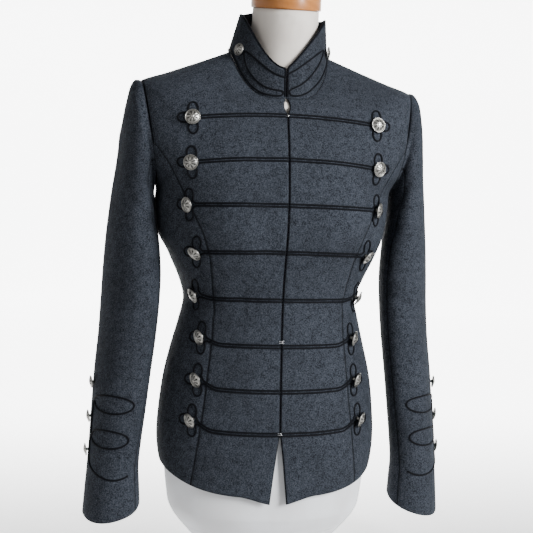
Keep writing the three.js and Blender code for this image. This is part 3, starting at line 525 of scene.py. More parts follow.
def sleeve_normal(w, s):
    w = many(w)
    dw = sleeve(w + NEAR_W, s) - sleeve(w - NEAR_W, s)
    ds = sleeve(w, min(s + NEAR_S, SLEEVE_LAST)) - sleeve(w, max(s - NEAR_S, 0))
    normal = unit(np.cross(dw, ds))
    axis = sleeve(w + 0.5, s) - sleeve(w, s)
    flip = np.sum(normal * axis, -1) > 0
    normal[flip] *= -1
    return normal


def turned(left, right, u):
    """Two half rings joined into one, each on its own side."""
    u = np.mod(u, 1)
    ours = u <= 0.5
    half = np.where(ours, u, 1 - u)
    p = np.where(ours[:, None], left(half), right(half))
    p[:, 0] *= np.where(ours, 1, -1)
    return p


COLLAR_FRONT_LENGTH = quarter(COLLAR_TOP[3], COLLAR_TOP[4], COLLAR_TOP[6])[2][-1]


def neckline(half):
    return body(half, ROW_NECK)


def collar(u, h):
    """Points of the collar's outer surface, u round it and h up it."""
    u = many(u)
    low = turned(neckline, neckline, u)
    turn = COLLAR_SHIFT / (4 * COLLAR_FRONT_LENGTH) * (1 + np.cos(2 * np.pi * u)) / 2
    tops = [lambda half, row=row: ring(row, half) for row in (COLLAR_TOP, COLLAR_TOP_RIGHT)]
    high = turned(*tops, u - turn)
    high[:, 0] += COLLAR_SHIFT
    high[:, 2] = turned(*tops, u)[:, 2]
    low = low + unit(high - low) * LAP
    return low + (high - low) * h


def collar_normal(u, h):
    u = many(u)
    du = collar(np.minimum(u + NEAR_U, 1), h) - collar(np.maximum(u - NEAR_U, 0), h)
    dh = collar(u, min(h + NEAR_H, 1)) - collar(u, max(h - NEAR_H, 0))
    return unit(np.cross(du, dh))


def beside(across, up, line):
    """How far along a line each place lies, as a share, and how far off it."""
    ax, az, bx, bz = line
    length = math.hypot(bx - ax, bz - az)
    tx, tz = (bx - ax) / length, (bz - az) / length
    rx, rz = across - ax, up - az
    return (rx * tx + rz * tz) / length, rz * tx - rx * tz


def crease_relief(across, up, creases, side):
    """How far soft troughs and ridges move the cloth out of its plain form."""
    total = np.zeros(np.shape(across))
    for which, *ends, bow, width, depth in creases:
        if which != side:
            continue
        t, off = beside(across, up, ends)
        off = off - bow * 4 * t * (1 - t)
        fade = smoothstep((t + 0.2) / 0.45) * smoothstep((1.2 - t) / 0.45)
        line = np.exp(-(off / width) ** 2)
        bank = np.exp(-((off - 1.9 * width) / (1.3 * width)) ** 2)
        total += depth * fade * (line - 0.4 * bank)
    return total


def body_relief(p, side):
    front = crease_relief(p[..., 0], p[..., 2], FRONT_CREASES, side)
    back = crease_relief(p[..., 0], p[..., 2], BACK_CREASES, side)
    share = smoothstep((p[..., 1] + 25) / 50)
    return front * (1 - share) + back * share


def sleeve_relief(w, p, side):
    return crease_relief(np.mod(w, 1) * TURN, p[..., 2], SLEEVE_CREASES, side)


# Meshes

def grid_quads(ids):
    return np.stack([ids[:-1, :-1], ids[:-1, 1:], ids[1:, 1:], ids[1:, :-1]], -1).reshape(-1, 4)


def round_ids(rows, k):
    """Point numbers of closed rings of k points, with the first of each again at its end."""
    ids = np.arange(rows * k).reshape(rows, k)
    return np.concatenate([ids, ids[:, :1]], axis=1)


def bar_faces(rows, k):
    """Faces of a round body: its side, then a flat end at both ends."""
    faces = grid_quads(round_ids(rows, k)).tolist()
    return faces + [list(range(k))[::-1], list(range((rows - 1) * k, rows * k))]


def shell_faces(rows, cols):
    """Faces of a closed wall: an outer grid, an inner grid and the four edges between."""
    outer = np.arange(rows * cols).reshape(rows, cols)
    inner = outer + rows * cols

    def strip(a, b):
        return np.stack([a[:-1], b[:-1], b[1:], a[1:]], -1)

    return np.concatenate([
        grid_quads(outer), grid_quads(inner)[:, ::-1],
        strip(outer[0], inner[0]), strip(outer[-1], inner[-1])[:, ::-1],
        strip(outer[:, 0], inner[:, 0])[:, ::-1], strip(outer[:, -1], inner[:, -1]),
    ])


def signed_volume(points, faces):
    fans = [(face[0], face[k], face[k + 1]) for face in faces for k in range(1, len(face) - 1)]
    a, b, c = np.moveaxis(np.asarray(points)[np.array(fans)], 1, 0)
    return float(np.sum(a * np.cross(b, c)))


def build(name, points, faces, material, replaces=(), uv=None, values=None):
    """A smooth piece from points in millimetres; uv and values are one row a point."""
    faces = [list(map(int, face)) for face in faces]
    if signed_volume(points, faces) < 0:
        faces = [face[::-1] for face in faces]
    mesh = bpy.data.meshes.new(name)
    mesh.from_pydata((np.asarray(points) * MM).tolist(), [], faces)
    mesh.polygons.foreach_set("use_smooth", [True] * len(mesh.polygons))
    if uv is not None:
        layer = mesh.uv_layers.new(name="along")
        corner = np.empty(len(mesh.loops), int)
        mesh.loops.foreach_get("vertex_index", corner)
        layer.data.foreach_set("uv", np.asarray(uv)[corner].astype(float).ravel())
    if values is not None:
        layer = mesh.attributes.new("recess", "FLOAT", "POINT")
        layer.data.foreach_set("value", np.asarray(values, float))
    mesh.materials.append(material)
    mesh.update()
    piece = add_object(name, mesh)
    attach(piece, "root")
    if replaces:
        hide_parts(*replaces)
    return piece


SIDES = {"left": 1, "right": -1}
EDGE_STEPS = np.array([0, 0.5, 1.1, 2.0, 3.4])
NARROW = 14                   # a panel less wide than this has its edge steps drawn in

# How deep the outer face turns in: at a seam, under the arm, at the neck seam and at an edge
SEAM_ROLL, ARM_ROLL, NECK_ROLL, EDGE_ROLL = 1.0, 0.3, 0.25, 1.0
ROLL_MOST = 1.1
ROLL_ACROSS, ROLL_LOW, ROLL_HIGH = 1.7, 1.5, 1.4    # how far in the turn reaches
INNER_ROLL = 0.45             # share of the turn that the inner face follows
AREA_MOST = 0.99              # a cut never fills its width by length


def stations(width, count):
    """Places across a panel, close together near its two edges."""
    near = EDGE_STEPS * min(1, width / NARROW)
    middle = np.linspace(near[-1], width - near[-1], count + 1)[1:-1]
    return np.concatenate([near, middle, width - near[::-1]])


def run_up(grid):
    """Distance of each grid point from the first row, along its column."""
    steps = np.linalg.norm(np.diff(grid, axis=0), axis=-1)
    return np.concatenate([np.zeros((1, grid.shape[1])), np.cumsum(steps, axis=0)])


def turned_edges(base, from_left, from_right, rolls):
    """How far the outer face sinks where the cloth turns in at a seam or an edge."""
    left, right, low, high = rolls
    up = run_up(base)
    down = up[-1:] - up
    total = left * np.exp(-(from_left / ROLL_ACROSS) ** 2)
    total += right * np.exp(-(from_right / ROLL_ACROSS) ** 2)
    total += low * np.exp(-(up / ROLL_LOW) ** 2) + high * np.exp(-(down / ROLL_HIGH) ** 2)
    return np.minimum(total, ROLL_MOST)


def seam_shade(base, from_left, from_right, rolls):
    """Mask of the painted shade along seams: 1 in the line of a seam, 0 on open cloth and at turned
    edges.
    """
    seams = [1.0 if roll == SEAM_ROLL else 0.0 for roll in rolls]
    return turned_edges(base, from_left, from_right, seams)


def cloth_wall(node, side, base, normal, relief, roll, wall, material, shade):
    """A closed wall of cloth and the width, length and area that it was cut to."""
    outer = base + normal * (relief - roll)[..., None]
    inner = base + normal * (relief - wall + INNER_ROLL * roll)[..., None]
    rows, cols = relief.shape
    points = np.concatenate([outer.reshape(-1, 3), inner.reshape(-1, 3)])
    points[:, 0] *= side
    piece = build(f"{node}_cloth", points, shell_faces(rows, cols), material, [node],
                  values=np.tile(shade.reshape(-1), 2))
    across = np.linalg.norm(np.diff(base, axis=1), axis=-1)
    upward = np.linalg.norm(np.diff(base, axis=0), axis=-1)
    cells = (across[1:] + across[:-1]) / 2 * (upward[:, 1:] + upward[:, :-1]) / 2
    width, length = float(across.sum(1).max()), float(upward.sum(0).max())
    area = min(float(cells.sum()), AREA_MOST * width * length)
    return piece, (width * MM, length * MM, area * MM**2)


def both_sides(name, lines, rolls, relief, material):
    """A panel on the wearer's left and right, from points, normals and ways to both edges."""
    base, normal, from_left, from_right = (np.array(part) for part in zip(*lines))
    edges = base, from_left, from_right, rolls
    roll, shade = turned_edges(*edges), seam_shade(*edges)
    for side, sign in SIDES.items():
        yield cloth_wall(f"{name}_{side}", sign, base, normal, relief(base, sign), roll, CLOTH,
                         material, shade)


TIP_WIDTH = 0.8               # a side panel's least width, at its tip


def body_rows(top):
    near_hem = [0, 0.02, 0.045, 0.08, 0.13]
    underarm = [13, 13.03, 13.08, 13.15, 13.22]
    armhole = [SIDE_TOP, 14.66, 14.71, SIDE_TIP, PRINCESS_TOP]
    rows = set(near_hem + underarm + armhole + [18, 21.9, 21.96, ROW_NECK])
    rows |= {round(v, 4) for v in np.arange(0.2, ROW_NECK, 0.125)}
    return sorted(v for v in rows if v <= top)


def body_panels(name, front, rows, edge_in, edge_out, count, rolls, material):
    """A body panel on both sides, each with its own creases."""
    lines = []
    for v in rows:
        length = 4 * ring_length(v, front)
        u0, u1 = edge_in(v), edge_out(v)
        width = max((u1 - u0) * length - SEAM, TIP_WIDTH)
        at = stations(width, count)
        u = u0 + (SEAM / 2 + at) / length
        lines.append((body(u, v), body_normal(u, v), at, width - at))
    return both_sides(name, lines, rolls, body_relief, material)


# Rows of the sleeve over which its creases run out, at the head and at the cuff
HEAD_FADE, CUFF_FADE = 1.5, 1.2


def cuff_fade(s):
    return smoothstep((SLEEVE_LAST - s) / CUFF_FADE)


def sleeve_rows():
    near = [0, 0.03, 0.08, 0.15, 0.25]
    head = list(np.arange(0.4, 6.0, 0.14))
    arm = list(np.arange(6.0, SLEEVE_LAST - 0.2, 0.075))
    cuff = [SLEEVE_LAST - d for d in (0.14, 0.09, 0.055, 0.03, 0.012, 0)]
    return near + head + arm + cuff


def sleeve_panels(name, seam_from, seam_to, count, material):
    """A sleeve panel on both sides, each with its own creases."""
    lines, places, shares = [], [], []
    circle = np.linspace(0, 1, 65)
    for s in sleeve_rows():
        share = s / SLEEVE_LAST
        w0 = seam_from[0] + (seam_from[1] - seam_from[0]) * share
        w1 = seam_to[0] + (seam_to[1] - seam_to[0]) * share
        around = float(run_along(sleeve(circle, s))[-1])
        width = (w1 - w0) * around - SEAM
        at = stations(width, count)
        w = w0 + (SEAM / 2 + at) / around
        lines.append((sleeve(w, s), sleeve_normal(w, s), at, width - at))
        places.append(w)
        shares.append(np.full(len(at), s))
    fade = smoothstep(np.array(shares) / HEAD_FADE) * cuff_fade(np.array(shares))

    def relief(base, sign):
        return sleeve_relief(np.array(places), base, sign) * fade

    rolls = (SEAM_ROLL, SEAM_ROLL, SEAM_ROLL, EDGE_ROLL)
    return both_sides(name, lines, rolls, relief, material)


def collar_panel(material):
    ends = np.array([0.0006, 0.0016, 0.003, 0.0055, 0.009])
    shares = np.concatenate([ends, np.linspace(0.014, 0.986, 170), 1 - ends[::-1]])
    low, high = [-0.008, 0.015, 0.035, 0.07], [0.94, 0.965, 0.985, 1]
    heights = np.concatenate([low, np.linspace(0.11, 0.9, 16), high])
    base = np.array([collar(shares, h) for h in heights])
    normal = np.array([collar_normal(shares, h) for h in heights])
    from_left = run_up(base.swapaxes(0, 1)).T
    from_right = from_left[:, -1:] - from_left
    roll = turned_edges(base, from_left, from_right, (EDGE_ROLL, EDGE_ROLL, NECK_ROLL, EDGE_ROLL))
    plain = np.zeros(roll.shape)
    return cloth_wall("collar", 1, base, normal, plain, roll, COLLAR_WALL, material, plain)


# Soutache: two ribs with a groove between, flat underneath
BRAID = np.array([
    (-1.15, -0.1), (-1.25, 0.45), (-1.06, 1.02), (-0.66, 1.32), (-0.24, 1.1), (0, 0.76),
    (0.24, 1.1), (0.66, 1.32), (1.06, 1.02), (1.25, 0.45), (1.15, -0.1), (0, -0.3),
])


def round_section(radius, lift, sides=12):
    angle = np.linspace(0, 2 * math.pi, sides, endpoint=False)
    return np.stack([radius * np.cos(angle), radius * np.sin(angle) + lift], -1)


def eased(path, passes=2):
    """A path with its corners rounded."""
    path = np.array(path, float)
    for _ in range(passes):
        path[1:-1] = 0.25 * path[:-2] + 0.5 * path[1:-1] + 0.25 * path[2:]
    return path


def sweep(points, normals, section, side=1):
    """A closed bar of the given section along a path; uv is the run and the side in metres."""
    points, normals = np.asarray(points), unit(np.asarray(normals))
    tangent = unit(np.gradient(points, axis=0))
    across = unit(np.cross(tangent, normals))
    k, count = len(section), len(points)
    grid = points[:, None] + across[:, None] * section[:, :1] + normals[:, None] * section[:, 1:]
    run = run_along(points)
    uv = np.stack([np.repeat(run * MM, k), np.tile(section[:, 0] * MM, count)], -1)
    grid = grid.reshape(-1, 3)
    grid[:, 0] *= side
    return grid, bar_faces(count, k), uv


BRAID_MIDDLE = 0.85           # height of the groove, where the thread runs
CHART_V = np.linspace(0, ROW_NECK, 221)
CHART_STEP = 2.0
CHART_D = np.arange(0, 215, CHART_STEP)
FRONT_CHART = np.array([
    body(np.minimum(0.25 * CHART_D / ring_length(v), 0.25), v)[:, 2] for v in CHART_V
])


def front_place(distance, z, side):
    """Point and normal of the front, a distance along the cloth from the centre line."""
    k = min(int(distance / CHART_STEP), len(CHART_D) - 2)
    share = distance / CHART_STEP - k
    column = (1 - share) * FRONT_CHART[:, k] + share * FRONT_CHART[:, k + 1]
    v = float(np.interp(z, column, CHART_V))
    u = 0.25 * distance / ring_length(v)
    point, normal = body(u, v)[0], body_normal(u, v)[0]
    return point + normal * body_relief(point, side), normal


def front_distance(x, z):
    """Distance along the cloth from the centre line to a place seen at x and z."""
    u, v = 0.15, 0.0
    for _ in range(6):
        low, high = 0.0, float(ROW_NECK)
        for _ in range(26):
            v = (low + high) / 2
            low, high = (v, high) if body(u, v)[0, 2] < z else (low, v)
        u = u_at_x(v, x, True)
    return u / 0.25 * ring_length(v)


def frogging_path(row):
    """Distance and height of one length of braid: out, round three lobes, and back."""
    z0, rise, kick, button_x = row
    end = front_distance(button_x, z0)

    def height(distance):
        bend = smoothstep((distance - (end - KICK_LENGTH)) / KICK_LENGTH)
        return z0 + rise * (distance / end) ** 2 + kick * bend

    out = np.linspace(front_gap(z0) + 0.2, end - 7, 54)
    upper = [(d, height(d) + CORD_PITCH / 2) for d in out]
    lower = [(d, height(d) - CORD_PITCH / 2) for d in out[::-1]]
    lobes = []
    for angle in np.radians(np.linspace(*LOBE_TURN)):
        reach = LOBE_NECK + (LOBE_REACH - LOBE_NECK) * abs(math.cos(2 * angle)) ** 1.1
        lobes.append((end - reach * math.cos(angle), height(end) + reach * math.sin(angle)))
    return eased(upper + lobes + lower), (end, height(end))


CHART_S = np.arange(8, SLEEVE_LAST + 0.01, 0.05)
CHART_W_FROM, CHART_W_STEP = 0.1, 0.005
CHART_W = np.arange(CHART_W_FROM, 0.7, CHART_W_STEP)
SLEEVE_CHART = np.array([sleeve(CHART_W, s)[:, 2] for s in CHART_S])


def sleeve_place(w, z, side):
    """Point and normal of the sleeve at a share round it and a height."""
    k = int((w - CHART_W_FROM) / CHART_W_STEP)
    share = (w - CHART_W_FROM) / CHART_W_STEP - k
    column = (1 - share) * SLEEVE_CHART[:, k] + share * SLEEVE_CHART[:, k + 1]
    s = float(np.interp(z, column[::-1], CHART_S[::-1]))
    point, normal = sleeve(w, s)[0], sleeve_normal(w, s)[0]
    return point + normal * sleeve_relief(w, point, side) * cuff_fade(s), normal


def finer(flat, parts):
    """A smooth path through the given points, with so many parts between two."""
    flat = np.asarray(flat, float)
    return np.array([spline(flat, i / parts) for i in range((len(flat) - 1) * parts + 1)])


def cuff_path():
    """Share round the sleeve and height of the cuff's braid: two loops and a sweep."""
    flat = []
    for z0, tall, start, end in CUFF_LOOPS:
        for i in range(10):
            angle = 2 * math.pi * (0.04 + 0.92 * i / 9)
            share = (1 - math.cos(angle)) / 2
            up = tall / 2 * math.sin(angle) * share**0.1
            z = z0 + math.copysign(max(abs(up), LOOP_PINCH), math.sin(angle))
            flat.append((start + (end - start) * share, z))
    return finer(flat + CUFF_SWEEP, 10)


def collar_place(u, h):
    return collar(u, h)[0], collar_normal(u, h)[0]


def braid_piece(name, places, side, material, node):
    points = np.array([p for p, _ in places])
    normals = np.array([n for _, n in places])
    grid, faces, uv = sweep(points, normals, BRAID, side)
    return build(name, grid, faces, material, [node], uv=uv)


# Buttons as in the solids, but the large heads are 0.6 mm smaller in radius
LARGE = {"radius": 10.4, "shank": 2.6, "stand": 3.4, "rim": 1.9, "dome": 3.4}
SMALL = {"radius": 8.6, "shank": 2.4, "stand": 3.0, "rim": 1.6, "dome": 2.6}
PETALS = 8
ROPE_TURNS = 30
BUTTON_SIDES = 72
ROPE_IN, ROPE_MIDDLE = 0.86, 0.93    # the rope rim's inner edge and middle, of the radius
FACE_OUT = 0.845              # outer edge of the domed face
LEAN_FREE, LEAN_STRETCH = 0.2, 3.2   # lean that needs no longer shank, and its growth in mm

# Lean of each chest button, down and out, and of the small ones on cuff and collar
LEAN = [
    (0.1, 0), (0.12, 0), (0.2, 0.5), (0.5, 0.3), (0.5, 0.6), (0.5, 0.7), (0.55, 0.7), (0.55, 0.75),
]
CUFF_LEAN, COLLAR_LEAN = (0.2, 0), (0.1, 0)


OFF_FACE = 2                  # place on the face of a ring that isn't on it


def button_profile(size):
    """Rings of a button from its foot to its crown: radius, height, place on the face."""
    r, shank, stand, rim, dome = (size[key] for key in ("radius", "shank", "stand", "rim", "dome"))
    under = [
        (shank * 0.9, -0.3), (shank * 0.75, stand * 0.4), (shank * 0.9, stand * 0.8),
        (shank * 1.5, stand), (r * 0.6, stand + 0.1), (r * 0.9, stand + 0.25),
        (r * 0.985, stand + rim * 0.4),
    ]
    rings = [(*ring, OFF_FACE) for ring in under]
    seat = stand + rim * 0.62
    for share in np.linspace(1.0, ROPE_IN, 7):
        bulge = math.sqrt(max(1 - ((share - ROPE_MIDDLE) / (1 - ROPE_MIDDLE)) ** 2, 0))
        rings.append((r * share, seat + rim * 0.42 * bulge, share))
    for share in np.linspace(FACE_OUT, 0.03, 22):
        rings.append((r * share, seat + dome * (1 - (share / FACE_OUT) ** 2), share))
    return rings


RELIEF_RADIUS = 11            # the button radius that the relief's heights are for
UNDER_RECESS = 0.3            # how dark the metal is off the face


def button_relief(share, angle, size):
    """Height of the plain rope rim and the rayed rosette, and how deep a place lies."""
    scale = size["radius"] / RELIEF_RADIUS
    height, recess = np.zeros(angle.shape), np.zeros(angle.shape)
    if share == OFF_FACE:
        recess = recess + UNDER_RECESS
    elif share >= ROPE_IN:
        twist = np.cos(ROPE_TURNS * angle + (share - ROPE_MIDDLE) * 60)
        height = 0.22 * twist
        recess = 0.35 - 0.35 * twist
    else:
        window = smoothstep((share - 0.24) / 0.08) * smoothstep((0.78 - share) / 0.1)
        ray = np.cos(PETALS * angle)
        petal = smoothstep((ray + 0.35) / 0.9)
        vein = np.exp(-((np.mod(angle * PETALS / (2 * math.pi) + 0.5, 1) - 0.5) / 0.09) ** 2)
        height = window * (0.42 * petal - 0.22 * vein)
        boss = smoothstep((0.2 - share) / 0.05)
        height = height + 0.45 * boss
        groove = math.exp(-((share - FACE_OUT) / 0.03) ** 2)
        groove += math.exp(-((share - 0.235) / 0.025) ** 2)
        recess = np.clip(window * (0.75 * (1 - petal) + 0.5 * vein) + groove, 0, 1)
    return height * scale, recess


def button_piece(name, size, place, side, lean, material):
    """A domed button on its shank, which leans down and out under its own weight."""
    point, normal = place
    down, out = lean
    axis = unit(normal + np.array([out, 0, -down]))
    upward = unit(np.array([0, 0, 1.0]) - axis * axis[2])
    across = np.cross(upward, axis)
    angle = np.linspace(0, 2 * math.pi, BUTTON_SIDES, endpoint=False)
    circle = np.cos(angle)[:, None] * across + np.sin(angle)[:, None] * upward
    points, recess = [], []
    stretch = LEAN_STRETCH * max(math.hypot(down, out) - LEAN_FREE, 0)
    foot = point + (normal - axis) * (size["stand"] + stretch)
    for radius, height, share in button_profile(size):
        height += stretch * min(max(height / size["stand"], 0), 1)
        lift, deep = button_relief(share, angle, size)
        points.append(foot + circle * radius + axis * (height + lift)[:, None])
        recess.append(deep)
    grid = np.concatenate(points)
    grid[:, 0] *= side
    return build(f"{name}_domed", grid, bar_faces(len(points), len(angle)), material,
                 [name], values=np.concatenate(recess))


# The form's armhole lies this far inside the jacket's, and its side bends in over this width
ARM_CLEAR, ARM_BEND = 7, 12


def form_ring(v, u):
    inset = CLOTH + float(np.interp(v, FORM_EASE[:, 0], FORM_EASE[:, 1]))
    p = body(u, v) - body_normal(u, v) * inset
    if ROW_UNDERARM - 2 < v <= ROW_SHOULDER:
        limit = armhole_x(np.maximum(p[:, 2], ARMHOLE["low_z"])) - ARM_CLEAR
        near = limit - ARM_BEND
        bent = limit - ARM_BEND * np.exp(-(p[:, 0] - near) / ARM_BEND)
        p[:, 0] = np.where(p[:, 0] > near, bent, p[:, 0])
    p[(u == 0) | (u == 0.5), 0] = 0
    return p


def ring_stack(name, rings, material, node):
    """A closed body from whole rings, low to high, with a middle point at both ends."""
    rows, k = len(rings), len(rings[0])
    ids = round_ids(rows, k)
    faces = grid_quads(ids).tolist()
    points = np.concatenate(rings + [[rings[0].mean(0)], [rings[-1].mean(0)]])
    for j in range(k):
        faces.append([rows * k, ids[0, j + 1], j])
        faces.append([rows * k + 1, ids[-1, j], ids[-1, j + 1]])
    return build(name, points, faces, material, [node])


HALF = np.linspace(0, 0.5, 61)


def whole(half_ring, shift=0.0):
    """A half ring and its mirror as one round of points."""
    back = half_ring[1:-1][::-1] * [-1, 1, 1]
    return np.concatenate([half_ring, back]) + [shift, 0, 0]


SEAM_RING_Z = 41              # sewn edge of the form's cover, low on the hips
NECK_CREASE = (-8, 742, 22, 716, 3.2, -2.0)    # from x and z, to x and z, width, depth


def form_torso(material):
    keys = [whole(ring(row, HALF)) for row in FORM_LOWER]
    keys += [whole(form_ring(v, HALF)) for v in range(2, ROW_NECK + 1)]
    keys += [whole(ring(row, HALF, level=row[8]), row[9]) for row in NECK]
    steps = np.unique(np.concatenate([
        np.linspace(0, 1.7, 14), np.linspace(1.7, 2.3, 25), np.linspace(2.3, len(keys) - 1, 190),
    ]))
    rings = []
    for t in steps:
        points = spline(keys, t)
        middle = points.mean(0)
        away = unit((points - middle) * [1, 1, 0])
        step = points[:, 2] - SEAM_RING_Z
        groove = -0.9 * np.exp(-(step / 1.1) ** 2) + 0.5 * np.exp(-((step - 3) / 2.0) ** 2)
        *ends, width, depth = NECK_CREASE
        place, off = beside(points[:, 0], points[:, 2], ends)
        fade = smoothstep((place + 0.1) / 0.4) * smoothstep((1.1 - place) / 0.4) * (points[:, 1] < 0)
        fold = depth * fade * (np.exp(-(off / width) ** 2) - 0.6 * np.exp(-((off - 5) / 4) ** 2))
        rings.append(points + away * (groove + fold)[:, None])
    return ring_stack("form_torso_cover", rings, material, "form_torso")


# The cap beyond the neck's top ring: growth and height
CAP_PROFILE = [
    (0, 0.3), (1.6, 0.4), (2.6, 1.0), (3, 1.9), (3, 24.6), (2.7, 26.6), (1.6, 28.4), (-0.4, 29.6),
    (-3.5, 30),
]


def form_cap(material):
    rings = []
    for grow, lift in CAP_PROFILE:
        row = NECK[-1].copy()
        row[:3] += lift
        row[3:6] += grow
        rings.append(whole(ring(row, HALF, level=1), row[9]))
    middle = rings[-1].mean(0)
    for share in (0.7, 0.35, 0.08):
        rings.append(middle + (rings[-1] - middle) * share)
    return ring_stack("form_cap_turned", rings, material, "form_cap")


# Finishes

class Value:
    """A node socket in an expression: each operator adds its Math node."""

    def __init__(self, finish, socket):
        self.finish, self.socket = finish, socket

    def __add__(self, other):
        return self.finish.math("ADD", self, other)

    def __sub__(self, other):
        return self.finish.math("SUBTRACT", self, other)

    def __rsub__(self, other):
        return self.finish.math("SUBTRACT", other, self)

    def __mul__(self, other):
        return self.finish.math("MULTIPLY", self, other)

    def __truediv__(self, other):
        return self.finish.math("DIVIDE", self, other)

    def __pow__(self, other):
        return self.finish.math("POWER", self, other)

    __radd__ = __add__
    __rmul__ = __mul__


class Finish:
    """One material, made from expressions on its sockets."""

    def __init__(self, name):
        self.material = bpy.data.materials.new(name)
        self.material.use_nodes = True
        self.tree = self.material.node_tree
        self.tree.nodes.clear()

    def node(self, kind, settings, values, out=0):
        node = self.tree.nodes.new(kind)
        for key, value in settings.items():
            setattr(node, key, value)
        for key, value in values.items():
            if isinstance(value, Value):
                self.tree.links.new(value.socket, node.inputs[key])
            else:
                node.inputs[key].default_value = value
        return Value(self, node.outputs[out])

    def math(self, operation, a, b=0.0):
        return self.node("ShaderNodeMath", {"operation": operation}, {0: a, 1: b})

    def waves(self, run, pitch):
        """Even waves from 0 to 1, one to each pitch in metres."""
        return self.math("SINE", run * (2 * math.pi / pitch)) * 0.5 + 0.5

    def place(self):
        return self.node("ShaderNodeTexCoord", {}, {}, "Object")

    def scaled(self, vector, size):
        return self.node("ShaderNodeMapping", {}, {"Vector": vector, "Scale": size})

    def split(self, vector):
        first = self.node("ShaderNodeSeparateXYZ", {}, {"Vector": vector})
        return [Value(self, socket) for socket in first.socket.node.outputs]

    def noise(self, vector, scale, detail=2.0, rough=0.5):
        return self.node("ShaderNodeTexNoise", {}, {
            "Vector": vector, "Scale": scale, "Detail": detail, "Roughness": rough,
        })

    def step(self, value, low, high):
        return self.node("ShaderNodeMapRange", {"interpolation_type": "SMOOTHSTEP"}, {
            "Value": value, "From Min": low, "From Max": high,
        })

    def mix(self, a, b, share):
        return self.node("ShaderNodeMix", {"data_type": "RGBA"}, {0: share, 6: a, 7: b}, 2)

    def surface(self, base, roughness, height=None, depth=0.0002, **plain):
        values = {"Base Color": base, "Roughness": roughness}
        values.update({key.replace("_", " "): value for key, value in plain.items()})
        if height is not None:
            values["Normal"] = self.node("ShaderNodeBump", {}, {
                "Height": height, "Distance": depth, "Strength": 1.0,
            })
        shader = self.node("ShaderNodeBsdfPrincipled", {}, values)
        output = self.tree.nodes.new("ShaderNodeOutputMaterial")
        self.tree.links.new(shader.socket, output.inputs["Surface"])
        return self.material


def wool_melton(name, shade_tint=1.0):
    """Felted charcoal heather: dark ground, grey mottle, pale loose fibres, and painted shade along
    the seams.
    """
    f = Finish(name)
    place = f.place()
    fibre = f.noise(place, 1500, 2.0, 0.6)
    mottle = f.noise(place, 620, 3.0, 0.65)
    patch = f.noise(place, 120, 2.0)
    tone = f.noise(place, 14, 1.0)
    hair = f.noise(f.scaled(place, (1.0, 1.0, 0.22)), 2600, 1.0)
    # shade_tint below 1 makes the whole ground darker, as painted shade
    ground = f.mix((0.0046 * shade_tint, 0.0058 * shade_tint, 0.0084 * shade_tint, 1),
                   (0.037 * shade_tint, 0.043 * shade_tint, 0.055 * shade_tint, 1),
                   f.step(mottle, 0.34, 0.66) * 0.75 + f.step(patch, 0.3, 0.7) * 0.25)
    fleck = f.step(fibre, 0.55, 0.72) * f.step(mottle, 0.42, 0.6)
    base = f.mix(ground, (0.145, 0.158, 0.18, 1), fleck * 0.5)
    base = f.mix(base, (0.006, 0.007, 0.0095, 1), f.step(tone, 0.62, 0.25) * 0.22)
    # painted shade: the cloth turns near-black in the line of each seam
    seam_shade_mask = f.node("ShaderNodeAttribute", {"attribute_name": "recess"}, {}, "Fac")
    base = f.mix(base, (0.0012, 0.0014, 0.002, 1), f.step(seam_shade_mask, 0.15, 1.0) * 0.62)
    height = mottle * 0.5 + fibre * 0.3 + hair * 0.35
    rough = f.step(hair, 0.2, 0.8) * 0.1 + 0.86
    return f.surface(base, rough, height, 0.00035, Specular_IOR_Level=0.12)


DYE_BLACK = (0.0012, 0.0014, 0.0022, 1)


def soutache_black():
    """Plaited rayon over two cores: threads slant to the groove from both sides."""
    f = Finish("soutache_black")
    run, across, _ = f.split(f.node("ShaderNodeUVMap", {"uv_map": "along"}, {}))
    slant = run + f.math("ABSOLUTE", across) * 1.1
    thread = f.waves(slant, 0.00095)
    wear = f.noise(f.place(), 260, 2.0)
    proud = thread * 0.7 + wear * 0.3
    base = f.mix(DYE_BLACK, (0.0055, 0.0062, 0.0085, 1), proud)
    return f.surface(base, 0.7 - thread * 0.14, proud, 0.00012, Specular_IOR_Level=0.07)


def piping_black():
    """Black bias piping, also used for the painted-shade cord on the front edge: a close twill that
    follows the edge.
    """
    f = Finish("piping_black")
    run, across, _ = f.split(f.node("ShaderNodeUVMap", {"uv_map": "along"}, {}))
    twill = f.waves(run + across, 0.0007)
    nap = f.noise(f.place(), 1400, 2.0)
    base = f.mix(DYE_BLACK, (0.005, 0.0056, 0.0078, 1), twill * 0.5 + nap * 0.5)
    height = twill * 0.4 + nap * 0.6
    return f.surface(base, nap * 0.1 + 0.78, height, 0.00012, Specular_IOR_Level=0.06)


def pewter_cast():
    """Antique silver: rubbed bright where it stands proud, dark where it lies deep."""
    f = Finish("pewter_cast")
    deep = f.node("ShaderNodeAttribute", {"attribute_name": "recess"}, {}, "Fac")
    place = f.place()
    cloud = f.noise(place, 420, 3.0)
    grain = f.noise(place, 2200, 2.0)
    share = deep * 0.85 + f.step(cloud, 0.5, 0.75) * 0.3
    base = f.mix((0.43, 0.42, 0.39, 1), (0.03, 0.029, 0.028, 1), f.step(share, 0.0, 0.85))
    rough = f.step(share, 0.0, 1.0) * 0.3 + grain * 0.12 + 0.24
    return f.surface(base, rough, grain * 0.5 + cloud * 0.5, 0.00006, Metallic=1.0)


def wire_steel():
    f = Finish("hook_wire")
    scratch = f.noise(f.scaled(f.place(), (1.0, 1.0, 6.0)), 900, 2.0)
    base = f.mix((0.72, 0.72, 0.73, 1), (0.45, 0.45, 0.46, 1), scratch)
    return f.surface(base, scratch * 0.2 + 0.2, scratch, 0.00003, Metallic=1.0)


